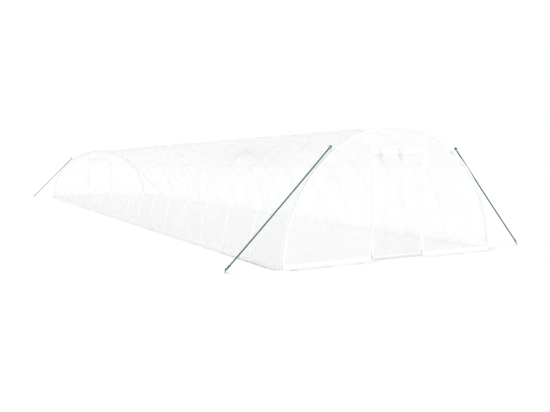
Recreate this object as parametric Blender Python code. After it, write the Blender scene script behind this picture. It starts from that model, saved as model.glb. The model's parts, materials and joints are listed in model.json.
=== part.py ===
"""Walk-in tunnel greenhouse, 20 m long, 4 m wide and 2 m high.

Steel hoops stand one metre apart on two base rails and carry a ridge purlin and two shoulder
purlins. A film cover lies over them and is drawn in a little between them, with a skirt on the
ground along each side. Each end has a panel on two door posts, a sill and a lintel, and a door
that is unzipped and rolled up under its tie straps. Four guy ropes run from tabs on the cover to
ground pegs. Rails and purlins have ears that are bolted to the hoops, and the ends of the posts,
lintels and braces are pressed flat where they lap what they are bolted to.

Metres, +Z up. The origin is on the ground under the middle of the ridge. The ridge runs along Y,
the front end is at -Y, and left and right are as seen by someone who faces the front door.
"""

import math

import bmesh
import bpy
from mathutils import Matrix, Vector

# Frame
LENGTH = 20.0
BAYS = 20
BAY = LENGTH / BAYS
ARCH_RADIUS = 1.98
ARCH_STEPS = 16
TUBE = 0.025
PURLIN_TUBE = 0.019
BRACE_TUBE = 0.019
TUBE_SIDES = 8
SEAT_GAP = 0.0005
CROSSING_GAP = 0.001
FOOT_HEIGHT = TUBE + 2 * SEAT_GAP
FOOT_ANGLE = math.asin(FOOT_HEIGHT / ARCH_RADIUS)
STEP_ANGLE = (math.pi - 2 * FOOT_ANGLE) / ARCH_STEPS
INSIDE_RADIUS = ARCH_RADIUS - (TUBE + PURLIN_TUBE) / 2 - CROSSING_GAP
SHOULDER_ANGLE = FOOT_ANGLE + ARCH_STEPS // 4 * STEP_ANGLE
FLAT_ANGLE = math.radians(0.05)
SMOOTH_ANGLE = math.radians(50)

# Ears on the rails and purlins, and the pressed ends of the other tubes
EAR_WIDTH = 0.022
EAR_THICKNESS = 0.003
EAR_REACH = 0.004
EAR_LENGTH = 0.060
TAPER = 0.030

# Cover
FILM = 0.002
SHEET_RADIUS = ARCH_RADIUS + TUBE / 2 + SEAT_GAP
OUTER_RADIUS = SHEET_RADIUS + FILM
SHEET_HALF_LENGTH = LENGTH / 2 + TUBE / 2 + SEAT_GAP
SKIRT_WIDTH = 0.15
DRAW_IN = 0.014
WALL_STEPS = ARCH_STEPS // 4

# Ends, each drawn in its own frame: y = 0 is the end hoop's plane and -y is outdoors
POST_X = 0.5
LINTEL_HEIGHT = 1.6125
PANEL_BACK = -(TUBE / 2 + 2 * SEAT_GAP)
PANEL_FACE = PANEL_BACK - FILM
OPENING_HALF_WIDTH = 0.47
OPENING_TOP = 1.60
ZIP_X = 0.488
ZIP_WIDTH = 0.008
ZIP_HEIGHT = 0.003
ZIP_TOP = 1.60

# Door, hem bar and zip sliders
DOOR_HALF_WIDTH = 0.476
DOOR_BOTTOM = 0.030
DOOR_TOP = 1.62
DOOR_BACK = PANEL_FACE - 0.0015
DOOR_COLUMNS = 12
DOOR_ROWS = 6
FOLD_DEPTH = 0.012
FOLDS = 3
HEM_BAR = 0.012
HEM_BAR_HALF_LENGTH = 0.462
HEM_BAR_HEIGHT = DOOR_BOTTOM + HEM_BAR / 2
HEM_BAR_Y = DOOR_BACK - FILM - SEAT_GAP - HEM_BAR / 2
SLIDER_SIZE = (0.020, 0.009, 0.026)
SLIDER_HEIGHT = 0.070
PULL_SIZE = (0.010, 0.003, 0.040)
PULL_DROP = 0.014

# Tie straps over the door
HEADER_SIZE = (0.98, 0.0025, 0.030)
HEADER_HEIGHT = 1.650
TIE_XS = (-0.35, 0.02)
TIE_WIDTH = 0.024
TIE_Y = PANEL_FACE - 0.026
TIE_THICKNESS = 0.003
BOW_HEIGHT = 1.560
BOW_THICKNESS = 0.006

# Guy ropes, tabs and pegs
ROPE = 0.021
ROPE_SAG = 0.008
ROPE_POINTS = 13
KNOT = 0.036
KNOT_LENGTH = 0.038
KNOT_RINGS = (0.25, 0.75)
TAB_ANGLE = math.radians(53.5)
TAB_SIZE = (0.005, 0.056, 0.098)
TAB_HOLE = 0.025
TAB_HOLE_HEIGHT = 0.070
TAB_Y = LENGTH / 2 - 0.02
PEG_X = 2.79
PEG_Y = LENGTH / 2 - 0.08
PEG_WIRE = 0.008
PEG_WIDTH = 0.056
PEG_BEND_STEPS = 6
PEG_HEIGHT = 0.058

# Braces in the four corner bays
BRACE_LOW_ANGLE = math.radians(4)
BRACE_HIGH_ANGLE = math.radians(30)
BRACE_FLAT = 0.024


def clear_scene():
    for obj in list(bpy.data.objects):
        bpy.data.objects.remove(obj, do_unlink=True)


def make_material(name, colour, roughness, metallic=0.0, alpha=1.0):
    material = bpy.data.materials.new(name)
    material.use_nodes = True
    shader = material.node_tree.nodes["Principled BSDF"]
    shader.inputs["Base Color"].default_value = (*colour, 1.0)
    shader.inputs["Roughness"].default_value = roughness
    shader.inputs["Metallic"].default_value = metallic
    shader.inputs["Alpha"].default_value = alpha
    material.diffuse_color = (*colour, alpha)
    return material


def add_object(name, mesh, parent=None, location=(0, 0, 0)):
    obj = bpy.data.objects.new(name, mesh)
    bpy.context.scene.collection.objects.link(obj)
    obj.parent = parent
    obj.location = location
    return obj


def make_mesh(name, bm, material):
    """Turns a bmesh into a mesh whose faces point outwards and whose round sides are smooth."""
    bmesh.ops.recalc_face_normals(bm, faces=bm.faces[:])
    mesh = bpy.data.meshes.new(name)
    bm.to_mesh(mesh)
    bm.free()
    mesh.materials.append(material)
    mesh.shade_smooth()
    mesh.set_sharp_from_angle(angle=SMOOTH_ANGLE)
    return mesh


def add_mesh(name, bm, material, parent=None, location=(0, 0, 0)):
    return add_object(name, make_mesh(name, bm, material), parent, location)


def add_empty(name, location, turn=0.0, parent=None):
    empty = bpy.data.objects.new(name, None)
    bpy.context.scene.collection.objects.link(empty)
    empty.location = location
    empty.rotation_euler[2] = turn
    empty.parent = parent
    return empty


def add_box(bm, size, centre, turn=None):
    placing = Matrix.Translation(centre)
    if turn is not None:
        placing = placing @ turn
    bmesh.ops.create_cube(bm, size=1.0, matrix=placing @ Matrix.Diagonal((*size, 1.0)))


def add_prism(bm, outline, y_low, y_high):
    """A solid with an outline in the XZ plane, between two planes of constant y."""
    face = bm.faces.new([bm.verts.new((x, y_low, z)) for x, z in outline])
    grown = bmesh.ops.extrude_face_region(bm, geom=[face])
    moved = [item for item in grown["geom"] if isinstance(item, bmesh.types.BMVert)]
    bmesh.ops.translate(bm, verts=moved, vec=(0, y_high - y_low, 0))


def combine(obj, operation, name, bm):
    """Joins a helper solid to an object, or cuts it away, with a Boolean modifier."""
    bmesh.ops.recalc_face_normals(bm, faces=bm.faces[:])
    mesh = bpy.data.meshes.new(name)
    bm.to_mesh(mesh)
    bm.free()
    helper = add_object(name, mesh, obj.parent, obj.location)
    helper.hide_render = True
    helper.display_type = "WIRE"
    modifier = obj.modifiers.new(name, "BOOLEAN")
    modifier.use_self = True
    modifier.operation = operation
    modifier.object = helper


def add_tube(name, start, end, diameter, material, parent=None):
    """A straight tube, eight-sided, measured across its flats."""
    start, end = Vector(start), Vector(end)
    run = end - start
    turn = run.to_track_quat("Z", "Y").to_matrix().to_4x4()
    half_side = Matrix.Rotation(math.pi / TUBE_SIDES, 4, "Z")
    radius = diameter / 2 / math.cos(math.pi / TUBE_SIDES)
    bm = bmesh.new()
    bmesh.ops.create_cone(
        bm,
        cap_ends=True,
        segments=TUBE_SIDES,
        radius1=radius,
        radius2=radius,
        depth=run.length,
        matrix=turn @ half_side,
    )
    return add_mesh(name, bm, material, parent, (start + end) / 2)


def add_ring(bm, centre, across, up, width, height):
    """An eight-sided ring whose flats lie half a width and half a height from its centre."""
    ring = []
    for corner in range(TUBE_SIDES):
        angle = math.tau * (corner + 0.5) / TUBE_SIDES
        reach = 0.5 / math.cos(math.pi / TUBE_SIDES)
        sideways = across * (width * reach * math.cos(angle))
        ring.append(bm.verts.new(centre + sideways + up * (height * reach * math.sin(angle))))
    return ring


def add_skin(bm, rings):
    """Faces from each ring to the next, and a face across each end."""
    for ring, following in zip(rings, rings[1:]):
        for place, (low, high) in enumerate(zip(ring, following)):
            bm.faces.new((low, ring[place - 1], following[place - 1], high))
    bm.faces.new(rings[0])
    bm.faces.new(rings[-1])


def add_strut(name, start, end, diameter, seats, material, parent=None):
    """A tube whose ends are pressed flat against what they are bolted to.

    Each seat is the flat's offset from the tube's axis at that end, how far the flat goes on
    past the end, and how far back along the tube it comes.
    """
    middle = (start + end) / 2
    along = (end - start).normalized()
    up = (seats[0][0] + seats[1][0]).normalized()
    up = (up - along * up.dot(along)).normalized()
    across = along.cross(up)
    bm = bmesh.new()
    halves = []
    for point, way, seat in ((start, along, seats[0]), (end, -along, seats[1])):
        offset, past, back = seat
        facing = offset.normalized()
        run = (way - facing * way.dot(facing)).normalized()
        side = across - facing * across.dot(facing)
        side = (side - run * side.dot(run)).normalized()
        flat = point - middle + offset
        round_from = point - middle + way * (back + TAPER)
        rings = [
            add_ring(bm, flat - run * past, side, facing, EAR_WIDTH, EAR_THICKNESS),
            add_ring(bm, flat + run * back, side, facing, EAR_WIDTH, EAR_THICKNESS),
            add_ring(bm, round_from, across, up, diameter, diameter),
        ]
        halves.append(rings)
    add_skin(bm, halves[0] + halves[1][::-1])
    return add_mesh(name, bm, material, parent, middle)


def arch_place(radius, angle):
    """A point of the arch's plane, as x and z, by its angle above the ground on the right."""
    return radius * math.cos(angle), radius * math.sin(angle)


def arch_outline(radius):
    """The arch's corners from the right foot over the ridge to the left foot."""
    return [arch_place(radius, FOOT_ANGLE + step * STEP_ANGLE) for step in range(ARCH_STEPS + 1)]


def arch_inside(inset, angle):
    """A place at an angle on the arch's straight-sided line, moved inwards by an inset.

    It comes with the angle that the line's straight piece there faces.
    """
    piece = int((angle - FOOT_ANGLE) / STEP_ANGLE)
    square_on = FOOT_ANGLE + (piece + 0.5) * STEP_ANGLE
    distance = ARCH_RADIUS * math.cos(STEP_ANGLE / 2) - inset
    return arch_place(distance / math.cos(angle - square_on), angle), square_on


def hoop_mesh(material):
    """A half circle of tube, spun from a ring at its right foot that has flats all round."""
    bm = bmesh.new()
    foot = Matrix.Rotation(-FOOT_ANGLE, 4, "Y") @ Matrix.Translation((ARCH_RADIUS, 0, 0))
    half_side = Matrix.Rotation(math.pi / TUBE_SIDES, 4, "Z")
    radius = TUBE / 2 / math.cos(math.pi / TUBE_SIDES)
    bmesh.ops.create_circle(bm, segments=TUBE_SIDES, radius=radius, matrix=foot @ half_side)
    bmesh.ops.spin(
        bm,
        geom=bm.edges[:],
        cent=(0, 0, 0),
        axis=(0, -1, 0),
        angle=math.pi - 2 * FOOT_ANGLE,
        steps=ARCH_STEPS,
    )
    bmesh.ops.holes_fill(bm, edges=[edge for edge in bm.edges if edge.is_boundary])
    return make_mesh("hoop", bm, material)


def hoop_places():
    return [BAY * number - LENGTH / 2 for number in range(BAYS + 1)]


def build_hoops(steel):
    mesh = hoop_mesh(steel)
    for number, y in enumerate(hoop_places(), start=1):
        add_object(f"hoop_{number:02d}", mesh, location=(0, y, 0))


def add_eared_tube(name, centre, up, lean, height, diameter, steel):
    """A lengthwise tube with an ear on each hoop's face towards the middle.

    The ears stand on the tube's facet that faces up, widen, and lean over to end at a height
    above the tube's axis. The centre is the tube's place in the XZ plane.
    """
    half = (LENGTH + TUBE) / 2
    axis = Vector((centre[0], 0, centre[1]))
    across = Vector((0, 1, 0)).cross(up)
    bm = bmesh.new()
    places = [-half]
    for y in hoop_places():
        near = y - math.copysign(TUBE / 2 + SEAT_GAP, y)
        far = near - math.copysign(EAR_THICKNESS, y)
        places += sorted((near, far))
    places.append(half)
    rings = [add_ring(bm, Vector((0, y, 0)), across, up, diameter, diameter) for y in places]
    add_skin(bm, rings)
    for low, high in zip(rings[1:-1:2], rings[2:-1:2]):
        base = bm.faces.get((low[1], low[2], high[2], high[1]))
        top = bmesh.ops.extrude_discrete_faces(bm, faces=[base])["faces"][0]
        for vert in top.verts:
            side = math.copysign(EAR_WIDTH / 2, vert.co.dot(across))
            vert.co = Vector((0, vert.co.y, 0)) + lean * height + across * side
    bmesh.ops.recalc_face_normals(bm, faces=bm.faces[:])
    bmesh.ops.dissolve_limit(bm, angle_limit=FLAT_ANGLE, verts=bm.verts[:], edges=bm.edges[:])
    return add_mesh(name, bm, steel, location=axis)


def build_purlin(name, angle, steel):
    """A purlin inside the hoops, whose ears reach over the hoops' centre line."""
    outward = Vector((math.cos(angle), 0, math.sin(angle)))
    height = ARCH_RADIUS + EAR_REACH - INSIDE_RADIUS
    centre = arch_place(INSIDE_RADIUS, angle)
    add_eared_tube(name, centre, outward, outward, height, PURLIN_TUBE, steel)


def build_base_rails(steel):
    """Rails under the hoops' feet, whose ears lean inwards with the hoops."""
    up = Vector((0, 0, 1))
    slope = FOOT_ANGLE + STEP_ANGLE / 2
    for side, sign in (("left", -1), ("right", 1)):
        lean = Vector((-sign * math.sin(slope), 0, math.cos(slope)))
        centre = (sign * ARCH_RADIUS, TUBE / 2)
        add_eared_tube(f"{side}_base_rail", centre, up, lean, EAR_LENGTH, TUBE, steel)


def corners():
    for end, y_sign in (("front", -1), ("back", 1)):
        for side, x_sign in (("left", -1), ("right", 1)):
            yield f"{end}_{side}", x_sign, y_sign


def build_braces(steel):
    """A brace from each end hoop's foot to the next hoop, bolted to the inside of both."""
    inset = (TUBE + BRACE_TUBE) / 2 + CROSSING_GAP
    offset = (BRACE_TUBE - EAR_THICKNESS) / 2
    for corner, x_sign, y_sign in corners():
        ends = []
        for angle, y in ((BRACE_LOW_ANGLE, LENGTH / 2), (BRACE_HIGH_ANGLE, LENGTH / 2 - BAY)):
            (x, z), square_on = arch_inside(inset, angle)
            outward = Vector((x_sign * math.cos(square_on), 0, math.sin(square_on)))
            ends.append((Vector((x_sign * x, y_sign * y, z)), outward * offset))
        (low, low_seat), (high, high_seat) = ends
        seats = ((low_seat, 0, BRACE_FLAT), (high_seat, BRACE_FLAT, BRACE_FLAT))
        add_strut(f"{corner}_brace", low, high, BRACE_TUBE, seats, steel)


def sheet_section(bm, y, draw_in):
    """One ring of the roof sheet: skirt, wall, vault, wall, skirt, and back on the inside."""
    loop = []
    for radius, low, way in ((OUTER_RADIUS, FILM, 1), (SHEET_RADIUS, 0, -1)):
        foot = arch_place(radius, FOOT_ANGLE)[0]
        edge = arch_place(OUTER_RADIUS, FOOT_ANGLE)[0] + SKIRT_WIDTH
        vault = []
        for step in range(ARCH_STEPS + 1):
            angle = FOOT_ANGLE + step * STEP_ANGLE
            tightness = min(1.0, step / WALL_STEPS, (ARCH_STEPS - step) / WALL_STEPS)
            vault.append(arch_place(radius - draw_in * tightness, angle))
        side = [(edge, low), (foot, low), *vault, (-foot, low), (-edge, low)]
        loop += side[::way]
    return [bm.verts.new((x, y, z)) for x, z in loop]


def sheet_loft():
    """The roof sheet, lofted from hoop to hoop and drawn in half way between them."""
    bm = bmesh.new()
    rings = [sheet_section(bm, -SHEET_HALF_LENGTH, 0)]
    for half_bay in range(2 * BAYS + 1):
        y = half_bay * BAY / 2 - LENGTH / 2
        rings.append(sheet_section(bm, y, DRAW_IN * (half_bay % 2)))
    rings.append(sheet_section(bm, SHEET_HALF_LENGTH, 0))
    add_skin(bm, rings)
    return bm


def tab_place(x_sign, y_sign, height):
    """A point of a corner's tab at a height above the roof sheet's outer face."""
    (x, z), _ = arch_inside(-(TUBE / 2 + SEAT_GAP + FILM + height), TAB_ANGLE)
    return Vector((x_sign * x, y_sign * TAB_Y, z))


def rope_ends(x_sign, y_sign):
    """Centre of the tab's hole and of the peg's top bend, for one corner."""
    bend = Vector((x_sign * PEG_X, y_sign * PEG_Y, PEG_HEIGHT - PEG_WIRE / 2))
    return tab_place(x_sign, y_sign, TAB_HOLE_HEIGHT), bend


def build_roof_sheet(film):
    """The cover's roof and sides, with four tabs for the guy ropes."""
    sheet = add_mesh("roof_sheet", sheet_loft(), film)
    tabs = bmesh.new()
    holes = bmesh.new()
    for _, x_sign, y_sign in corners():
        turn = Matrix.Rotation(x_sign * (math.pi / 2 - TAB_ANGLE), 4, "Y")
        middle = tab_place(x_sign, y_sign, (TAB_SIZE[2] - FILM) / 2)
        add_box(tabs, TAB_SIZE, middle, turn)
        hole = rope_ends(x_sign, y_sign)[0]
        across = turn @ Matrix.Rotation(math.pi / 2, 4, "Y")
        bmesh.ops.create_cone(
            holes,
            cap_ends=True,
            segments=TUBE_SIDES,
            radius1=TAB_HOLE / 2,
            radius2=TAB_HOLE / 2,
            depth=3 * TAB_SIZE[0],
            matrix=Matrix.Translation(hole) @ across,
        )
    combine(sheet, "UNION", "rope_tabs", tabs)
    combine(sheet, "DIFFERENCE", "rope_tab_holes", holes)


def arch_height(radius, x):
    """The height of the arch's straight-sided outline at a distance from the middle."""
    corners_up = arch_outline(radius)
    for (x_low, z_low), (x_high, z_high) in zip(corners_up, corners_up[1:]):
        if x_high <= abs(x) <= x_low:
            return z_low + (z_high - z_low) * (x_low - abs(x)) / (x_low - x_high)
    raise ValueError("outside the arch")


def build_end_frame(end, sides, anchor, steel):
    """Sill, lintel and two door posts. Their pressed ends lap what they meet from indoors."""
    rail_face = ARCH_RADIUS - TUBE / 2 - SEAT_GAP
    sill_z = TUBE / 2
    add_tube(f"{end}_sill", (-rail_face, 0, sill_z), (rail_face, 0, sill_z), TUBE, steel, anchor)

    indoors = Vector((0, (TUBE + EAR_THICKNESS) / 2 + SEAT_GAP, 0))
    reach = Vector((POST_X, 0, 0))
    middle = Vector((0, 0, LINTEL_HEIGHT))
    seat = (indoors, EAR_WIDTH / 2, TUBE / 2 + CROSSING_GAP)
    ends = (middle - reach, middle + reach)
    add_strut(f"{end}_lintel", *ends, TUBE, (seat, seat), steel, anchor)

    top = arch_height(ARCH_RADIUS - TUBE / 2, POST_X + TUBE / 2) - CROSSING_GAP
    tip = arch_height(ARCH_RADIUS, POST_X) + EAR_REACH
    seats = ((indoors, 0, TUBE + CROSSING_GAP - EAR_REACH), (indoors, 0, tip - top))
    for side, sign in sides:
        ends = (Vector((sign * POST_X, 0, z)) for z in (EAR_REACH, tip))
        add_strut(f"{end}_{side}_post", *ends, TUBE, seats, steel, anchor)


def build_end_panel(end, anchor, film):
    """A half round panel with a doorway, a ground flap on each side of it and the zips' chains."""
    half = arch_place(OUTER_RADIUS, FOOT_ANGLE)[0]
    outline = [(OPENING_HALF_WIDTH, 0), (half, 0), *arch_outline(OUTER_RADIUS), (-half, 0)]
    outline += [(-OPENING_HALF_WIDTH, 0), (-OPENING_HALF_WIDTH, OPENING_TOP)]
    outline += [(OPENING_HALF_WIDTH, OPENING_TOP)]
    bm = bmesh.new()
    add_prism(bm, outline, PANEL_FACE, PANEL_BACK)
    panel = add_mesh(f"{end}_end_panel", bm, film, anchor)
    flap_width = half - OPENING_HALF_WIDTH
    additions = bmesh.new()
    for sign in (-1, 1):
        centre = (sign * (half + OPENING_HALF_WIDTH) / 2, PANEL_BACK - SKIRT_WIDTH / 2, FILM / 2)
        add_box(additions, (flap_width, SKIRT_WIDTH, FILM), centre)
        chain_depth = ZIP_HEIGHT + FILM / 2
        chain_y = PANEL_FACE + FILM / 2 - chain_depth / 2
        chain_length = ZIP_TOP - FILM / 2
        chain_centre = (sign * ZIP_X, chain_y, ZIP_TOP - chain_length / 2)
        add_box(additions, (ZIP_WIDTH, chain_depth, chain_length), chain_centre)
    combine(panel, "UNION", f"{end}_flaps_and_zips", additions)


def door_fold(across, up):
    """How far the door stands out of its plane, from its place in it as two shares from 0 to 1."""
    wave = 0.5 - 0.5 * math.cos(2 * math.pi * FOLDS * across)
    slack = math.sin(math.pi * up)
    return FOLD_DEPTH * wave * slack


def build_door(end, door, film, steel):
    """The door's hanging film, slack between its top and the bar on its hem.

    Both hang from the door's own empty, which is at the middle of the bar.
    """
    bm = bmesh.new()
    rows = []
    for row in range(DOOR_ROWS + 1):
        up = row / DOOR_ROWS
        line = []
        for column in range(DOOR_COLUMNS + 1):
            across = column / DOOR_COLUMNS
            x = DOOR_HALF_WIDTH * (2 * across - 1)
            z = DOOR_BOTTOM + (DOOR_TOP - DOOR_BOTTOM) * up
            line.append(bm.verts.new((x, DOOR_BACK - door_fold(across, up), z)))
        rows.append(line)
    for low, high in zip(rows, rows[1:]):
        for left, right, high_left, high_right in zip(low, low[1:], high, high[1:]):
            bm.faces.new((left, right, high_right, high_left))
    panel = add_mesh(f"{end}_door_panel", bm, film, door, (0, -HEM_BAR_Y, -HEM_BAR_HEIGHT))
    solidify = panel.modifiers.new("film", "SOLIDIFY")
    solidify.thickness = FILM
    solidify.offset = 1.0
    reach = Vector((HEM_BAR_HALF_LENGTH, 0, 0))
    add_tube(f"{end}_hem_bar", -reach, reach, HEM_BAR, steel, door)


def build_zip_slider(name, sign, parent, plastic):
    """A slider on the zip's chain, closed at the bottom, with a pull that hangs from it."""
    depth = SLIDER_SIZE[1]
    chain_face = PANEL_FACE - ZIP_HEIGHT - SEAT_GAP
    bm = bmesh.new()
    add_box(bm, SLIDER_SIZE, (0, 0, 0))
    place = (sign * ZIP_X, chain_face - depth / 2, SLIDER_HEIGHT)
    slider = add_mesh(name, bm, plastic, parent, place)
    pull = bmesh.new()
    add_box(pull, PULL_SIZE, (0, -depth / 2, -PULL_DROP))
    combine(slider, "UNION", f"{name}_pull", pull)


def bow_outline(x):
    """A tied bow seen from the front: two loops and two tails round a knot."""
    right = [(0.010, 0.011), (0.038, 0.030), (0.041, -0.014), (0.014, -0.010)]
    right += [(0.027, -0.089), (0.011, -0.095), (0.004, -0.019)]
    left = [(-dx, dz) for dx, dz in reversed(right)]
    return [(x + dx, BOW_HEIGHT + dz) for dx, dz in right + left]


def build_tie_strap(end, anchor, webbing):
    """A tape sewn over the doorway, with two straps that hang from it, each tied in a bow."""
    header_y = PANEL_FACE - SEAT_GAP - HEADER_SIZE[1] / 2
    bm = bmesh.new()
    add_box(bm, HEADER_SIZE, (0, header_y, HEADER_HEIGHT))
    strap = add_mesh(f"{end}_tie_strap", bm, webbing, anchor)
    hangers = bmesh.new()
    bows = bmesh.new()
    reach = header_y - TIE_Y + TIE_THICKNESS
    for x in TIE_XS:
        arm_y = header_y - reach / 2
        add_box(hangers, (TIE_WIDTH, reach, TIE_THICKNESS), (x, arm_y, HEADER_HEIGHT))
        drop = HEADER_HEIGHT - BOW_HEIGHT
        middle = TIE_Y - TIE_THICKNESS / 2
        strap_middle = (x, middle, HEADER_HEIGHT - drop / 2)
        add_box(hangers, (TIE_WIDTH, TIE_THICKNESS, drop), strap_middle)
        add_prism(bows, bow_outline(x), middle - BOW_THICKNESS / 2, middle + BOW_THICKNESS / 2)
    combine(strap, "UNION", f"{end}_hangers", hangers)
    combine(strap, "UNION", f"{end}_bows", bows)


def build_end(end, y, turn, materials):
    """One end wall in its own frame. The back end is the front one turned half round."""
    anchor = add_empty(f"{end}_end", (0, y, 0), turn)
    door = add_empty(f"{end}_door", (0, HEM_BAR_Y, HEM_BAR_HEIGHT), parent=anchor)
    sides = (("left", -1), ("right", 1)) if turn == 0 else (("right", -1), ("left", 1))
    build_end_frame(end, sides, anchor, materials["steel"])
    build_end_panel(end, anchor, materials["film"])
    build_door(end, door, materials["film"], materials["steel"])
    build_tie_strap(end, anchor, materials["webbing"])
    for side, sign in sides:
        build_zip_slider(f"{end}_{side}_zip_slider", sign, anchor, materials["zip"])


def build_guy_rope(name, x_sign, y_sign, fibre):
    """A taut rope with a stopper knot behind the tab and a hitch at the peg."""
    hole, bend = rope_ends(x_sign, y_sign)
    along = (bend - hole).normalized()
    start = hole - along * (TAB_SIZE[0] / 2 + SEAT_GAP + KNOT_LENGTH)
    end = bend - along * (PEG_WIRE / 2 + SEAT_GAP)
    run = (end - start).length
    shares = [step / (ROPE_POINTS - 1) for step in range(ROPE_POINTS)]
    knot_shares = [KNOT_LENGTH / run * ring for ring in KNOT_RINGS]
    shares += [KNOT_LENGTH / run, 1 - KNOT_LENGTH / run]
    shares += knot_shares + [1 - share for share in knot_shares]
    shares.sort()
    curve = bpy.data.curves.new(name, "CURVE")
    curve.dimensions = "3D"
    curve.bevel_depth = ROPE / 2
    curve.bevel_resolution = 2
    curve.use_fill_caps = True
    spline = curve.splines.new("POLY")
    spline.points.add(len(shares) - 1)
    for point, share in zip(spline.points, shares):
        place = start.lerp(end, share)
        place.z -= 4 * ROPE_SAG * share * (1 - share)
        point.co = (*place, 1.0)
        in_knot = 0 < min(share, 1 - share) < KNOT_LENGTH / run * 0.99
        point.radius = KNOT / ROPE if in_knot else 1.0
    curve.materials.append(fibre)
    add_object(name, curve)


def build_peg(name, x_sign, y_sign, steel):
    """The part of a bent wire peg that stands out of the ground: a half round top on two legs."""
    half = PEG_WIDTH / 2 - PEG_WIRE / 2
    bend_height = PEG_HEIGHT - PEG_WIRE / 2 - half
    route = [(-half, 0.0), (-half, bend_height)]
    for step in range(1, PEG_BEND_STEPS):
        angle = math.pi * (1 - step / PEG_BEND_STEPS)
        route.append((half * math.cos(angle), bend_height + half * math.sin(angle)))
    route += [(half, bend_height), (half, 0.0)]
    curve = bpy.data.curves.new(name, "CURVE")
    curve.dimensions = "3D"
    curve.bevel_depth = PEG_WIRE / 2
    curve.bevel_resolution = 2
    curve.use_fill_caps = True
    spline = curve.splines.new("POLY")
    spline.points.add(len(route) - 1)
    for point, (y, z) in zip(spline.points, route):
        point.co = (0, y, z, 1.0)
    curve.materials.append(steel)
    add_object(name, curve, location=(x_sign * PEG_X, y_sign * PEG_Y, 0))


def main():
    clear_scene()
    materials = {
        "steel": make_material("galvanised_steel", (0.72, 0.74, 0.75), 0.38, metallic=0.9),
        "film": make_material("cover_film", (0.93, 0.94, 0.95), 0.35, alpha=0.45),
        "zip": make_material("zip_plastic", (0.16, 0.17, 0.17), 0.45),
        "webbing": make_material("tie_webbing", (0.10, 0.11, 0.11), 0.8),
        "rope": make_material("green_rope", (0.015, 0.16, 0.11), 0.75),
        "peg": make_material("peg_steel", (0.70, 0.71, 0.72), 0.35, metallic=0.9),
    }
    build_hoops(materials["steel"])
    build_purlin("ridge_purlin", math.pi / 2, materials["steel"])
    build_purlin("left_purlin", math.pi - SHOULDER_ANGLE, materials["steel"])
    build_purlin("right_purlin", SHOULDER_ANGLE, materials["steel"])
    build_base_rails(materials["steel"])
    build_braces(materials["steel"])
    build_roof_sheet(materials["film"])
    build_end("front", -LENGTH / 2, 0.0, materials)
    build_end("back", LENGTH / 2, math.pi, materials)
    for corner, x_sign, y_sign in corners():
        build_guy_rope(f"{corner}_guy_rope", x_sign, y_sign, materials["rope"])
        build_peg(f"{corner}_peg", x_sign, y_sign, materials["peg"])


main()
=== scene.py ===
"""Looks of a walk-in tunnel greenhouse: translucent film over steel hoops, with a zipped door.

Metres, +Z up. The ridge runs along Y, the front end is at -Y, and left and right are as seen by
someone who faces the front door. Each end is drawn in its own frame, where y = 0 is the end
hoop's plane and -y is outdoors.
"""

import json
import math

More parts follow.
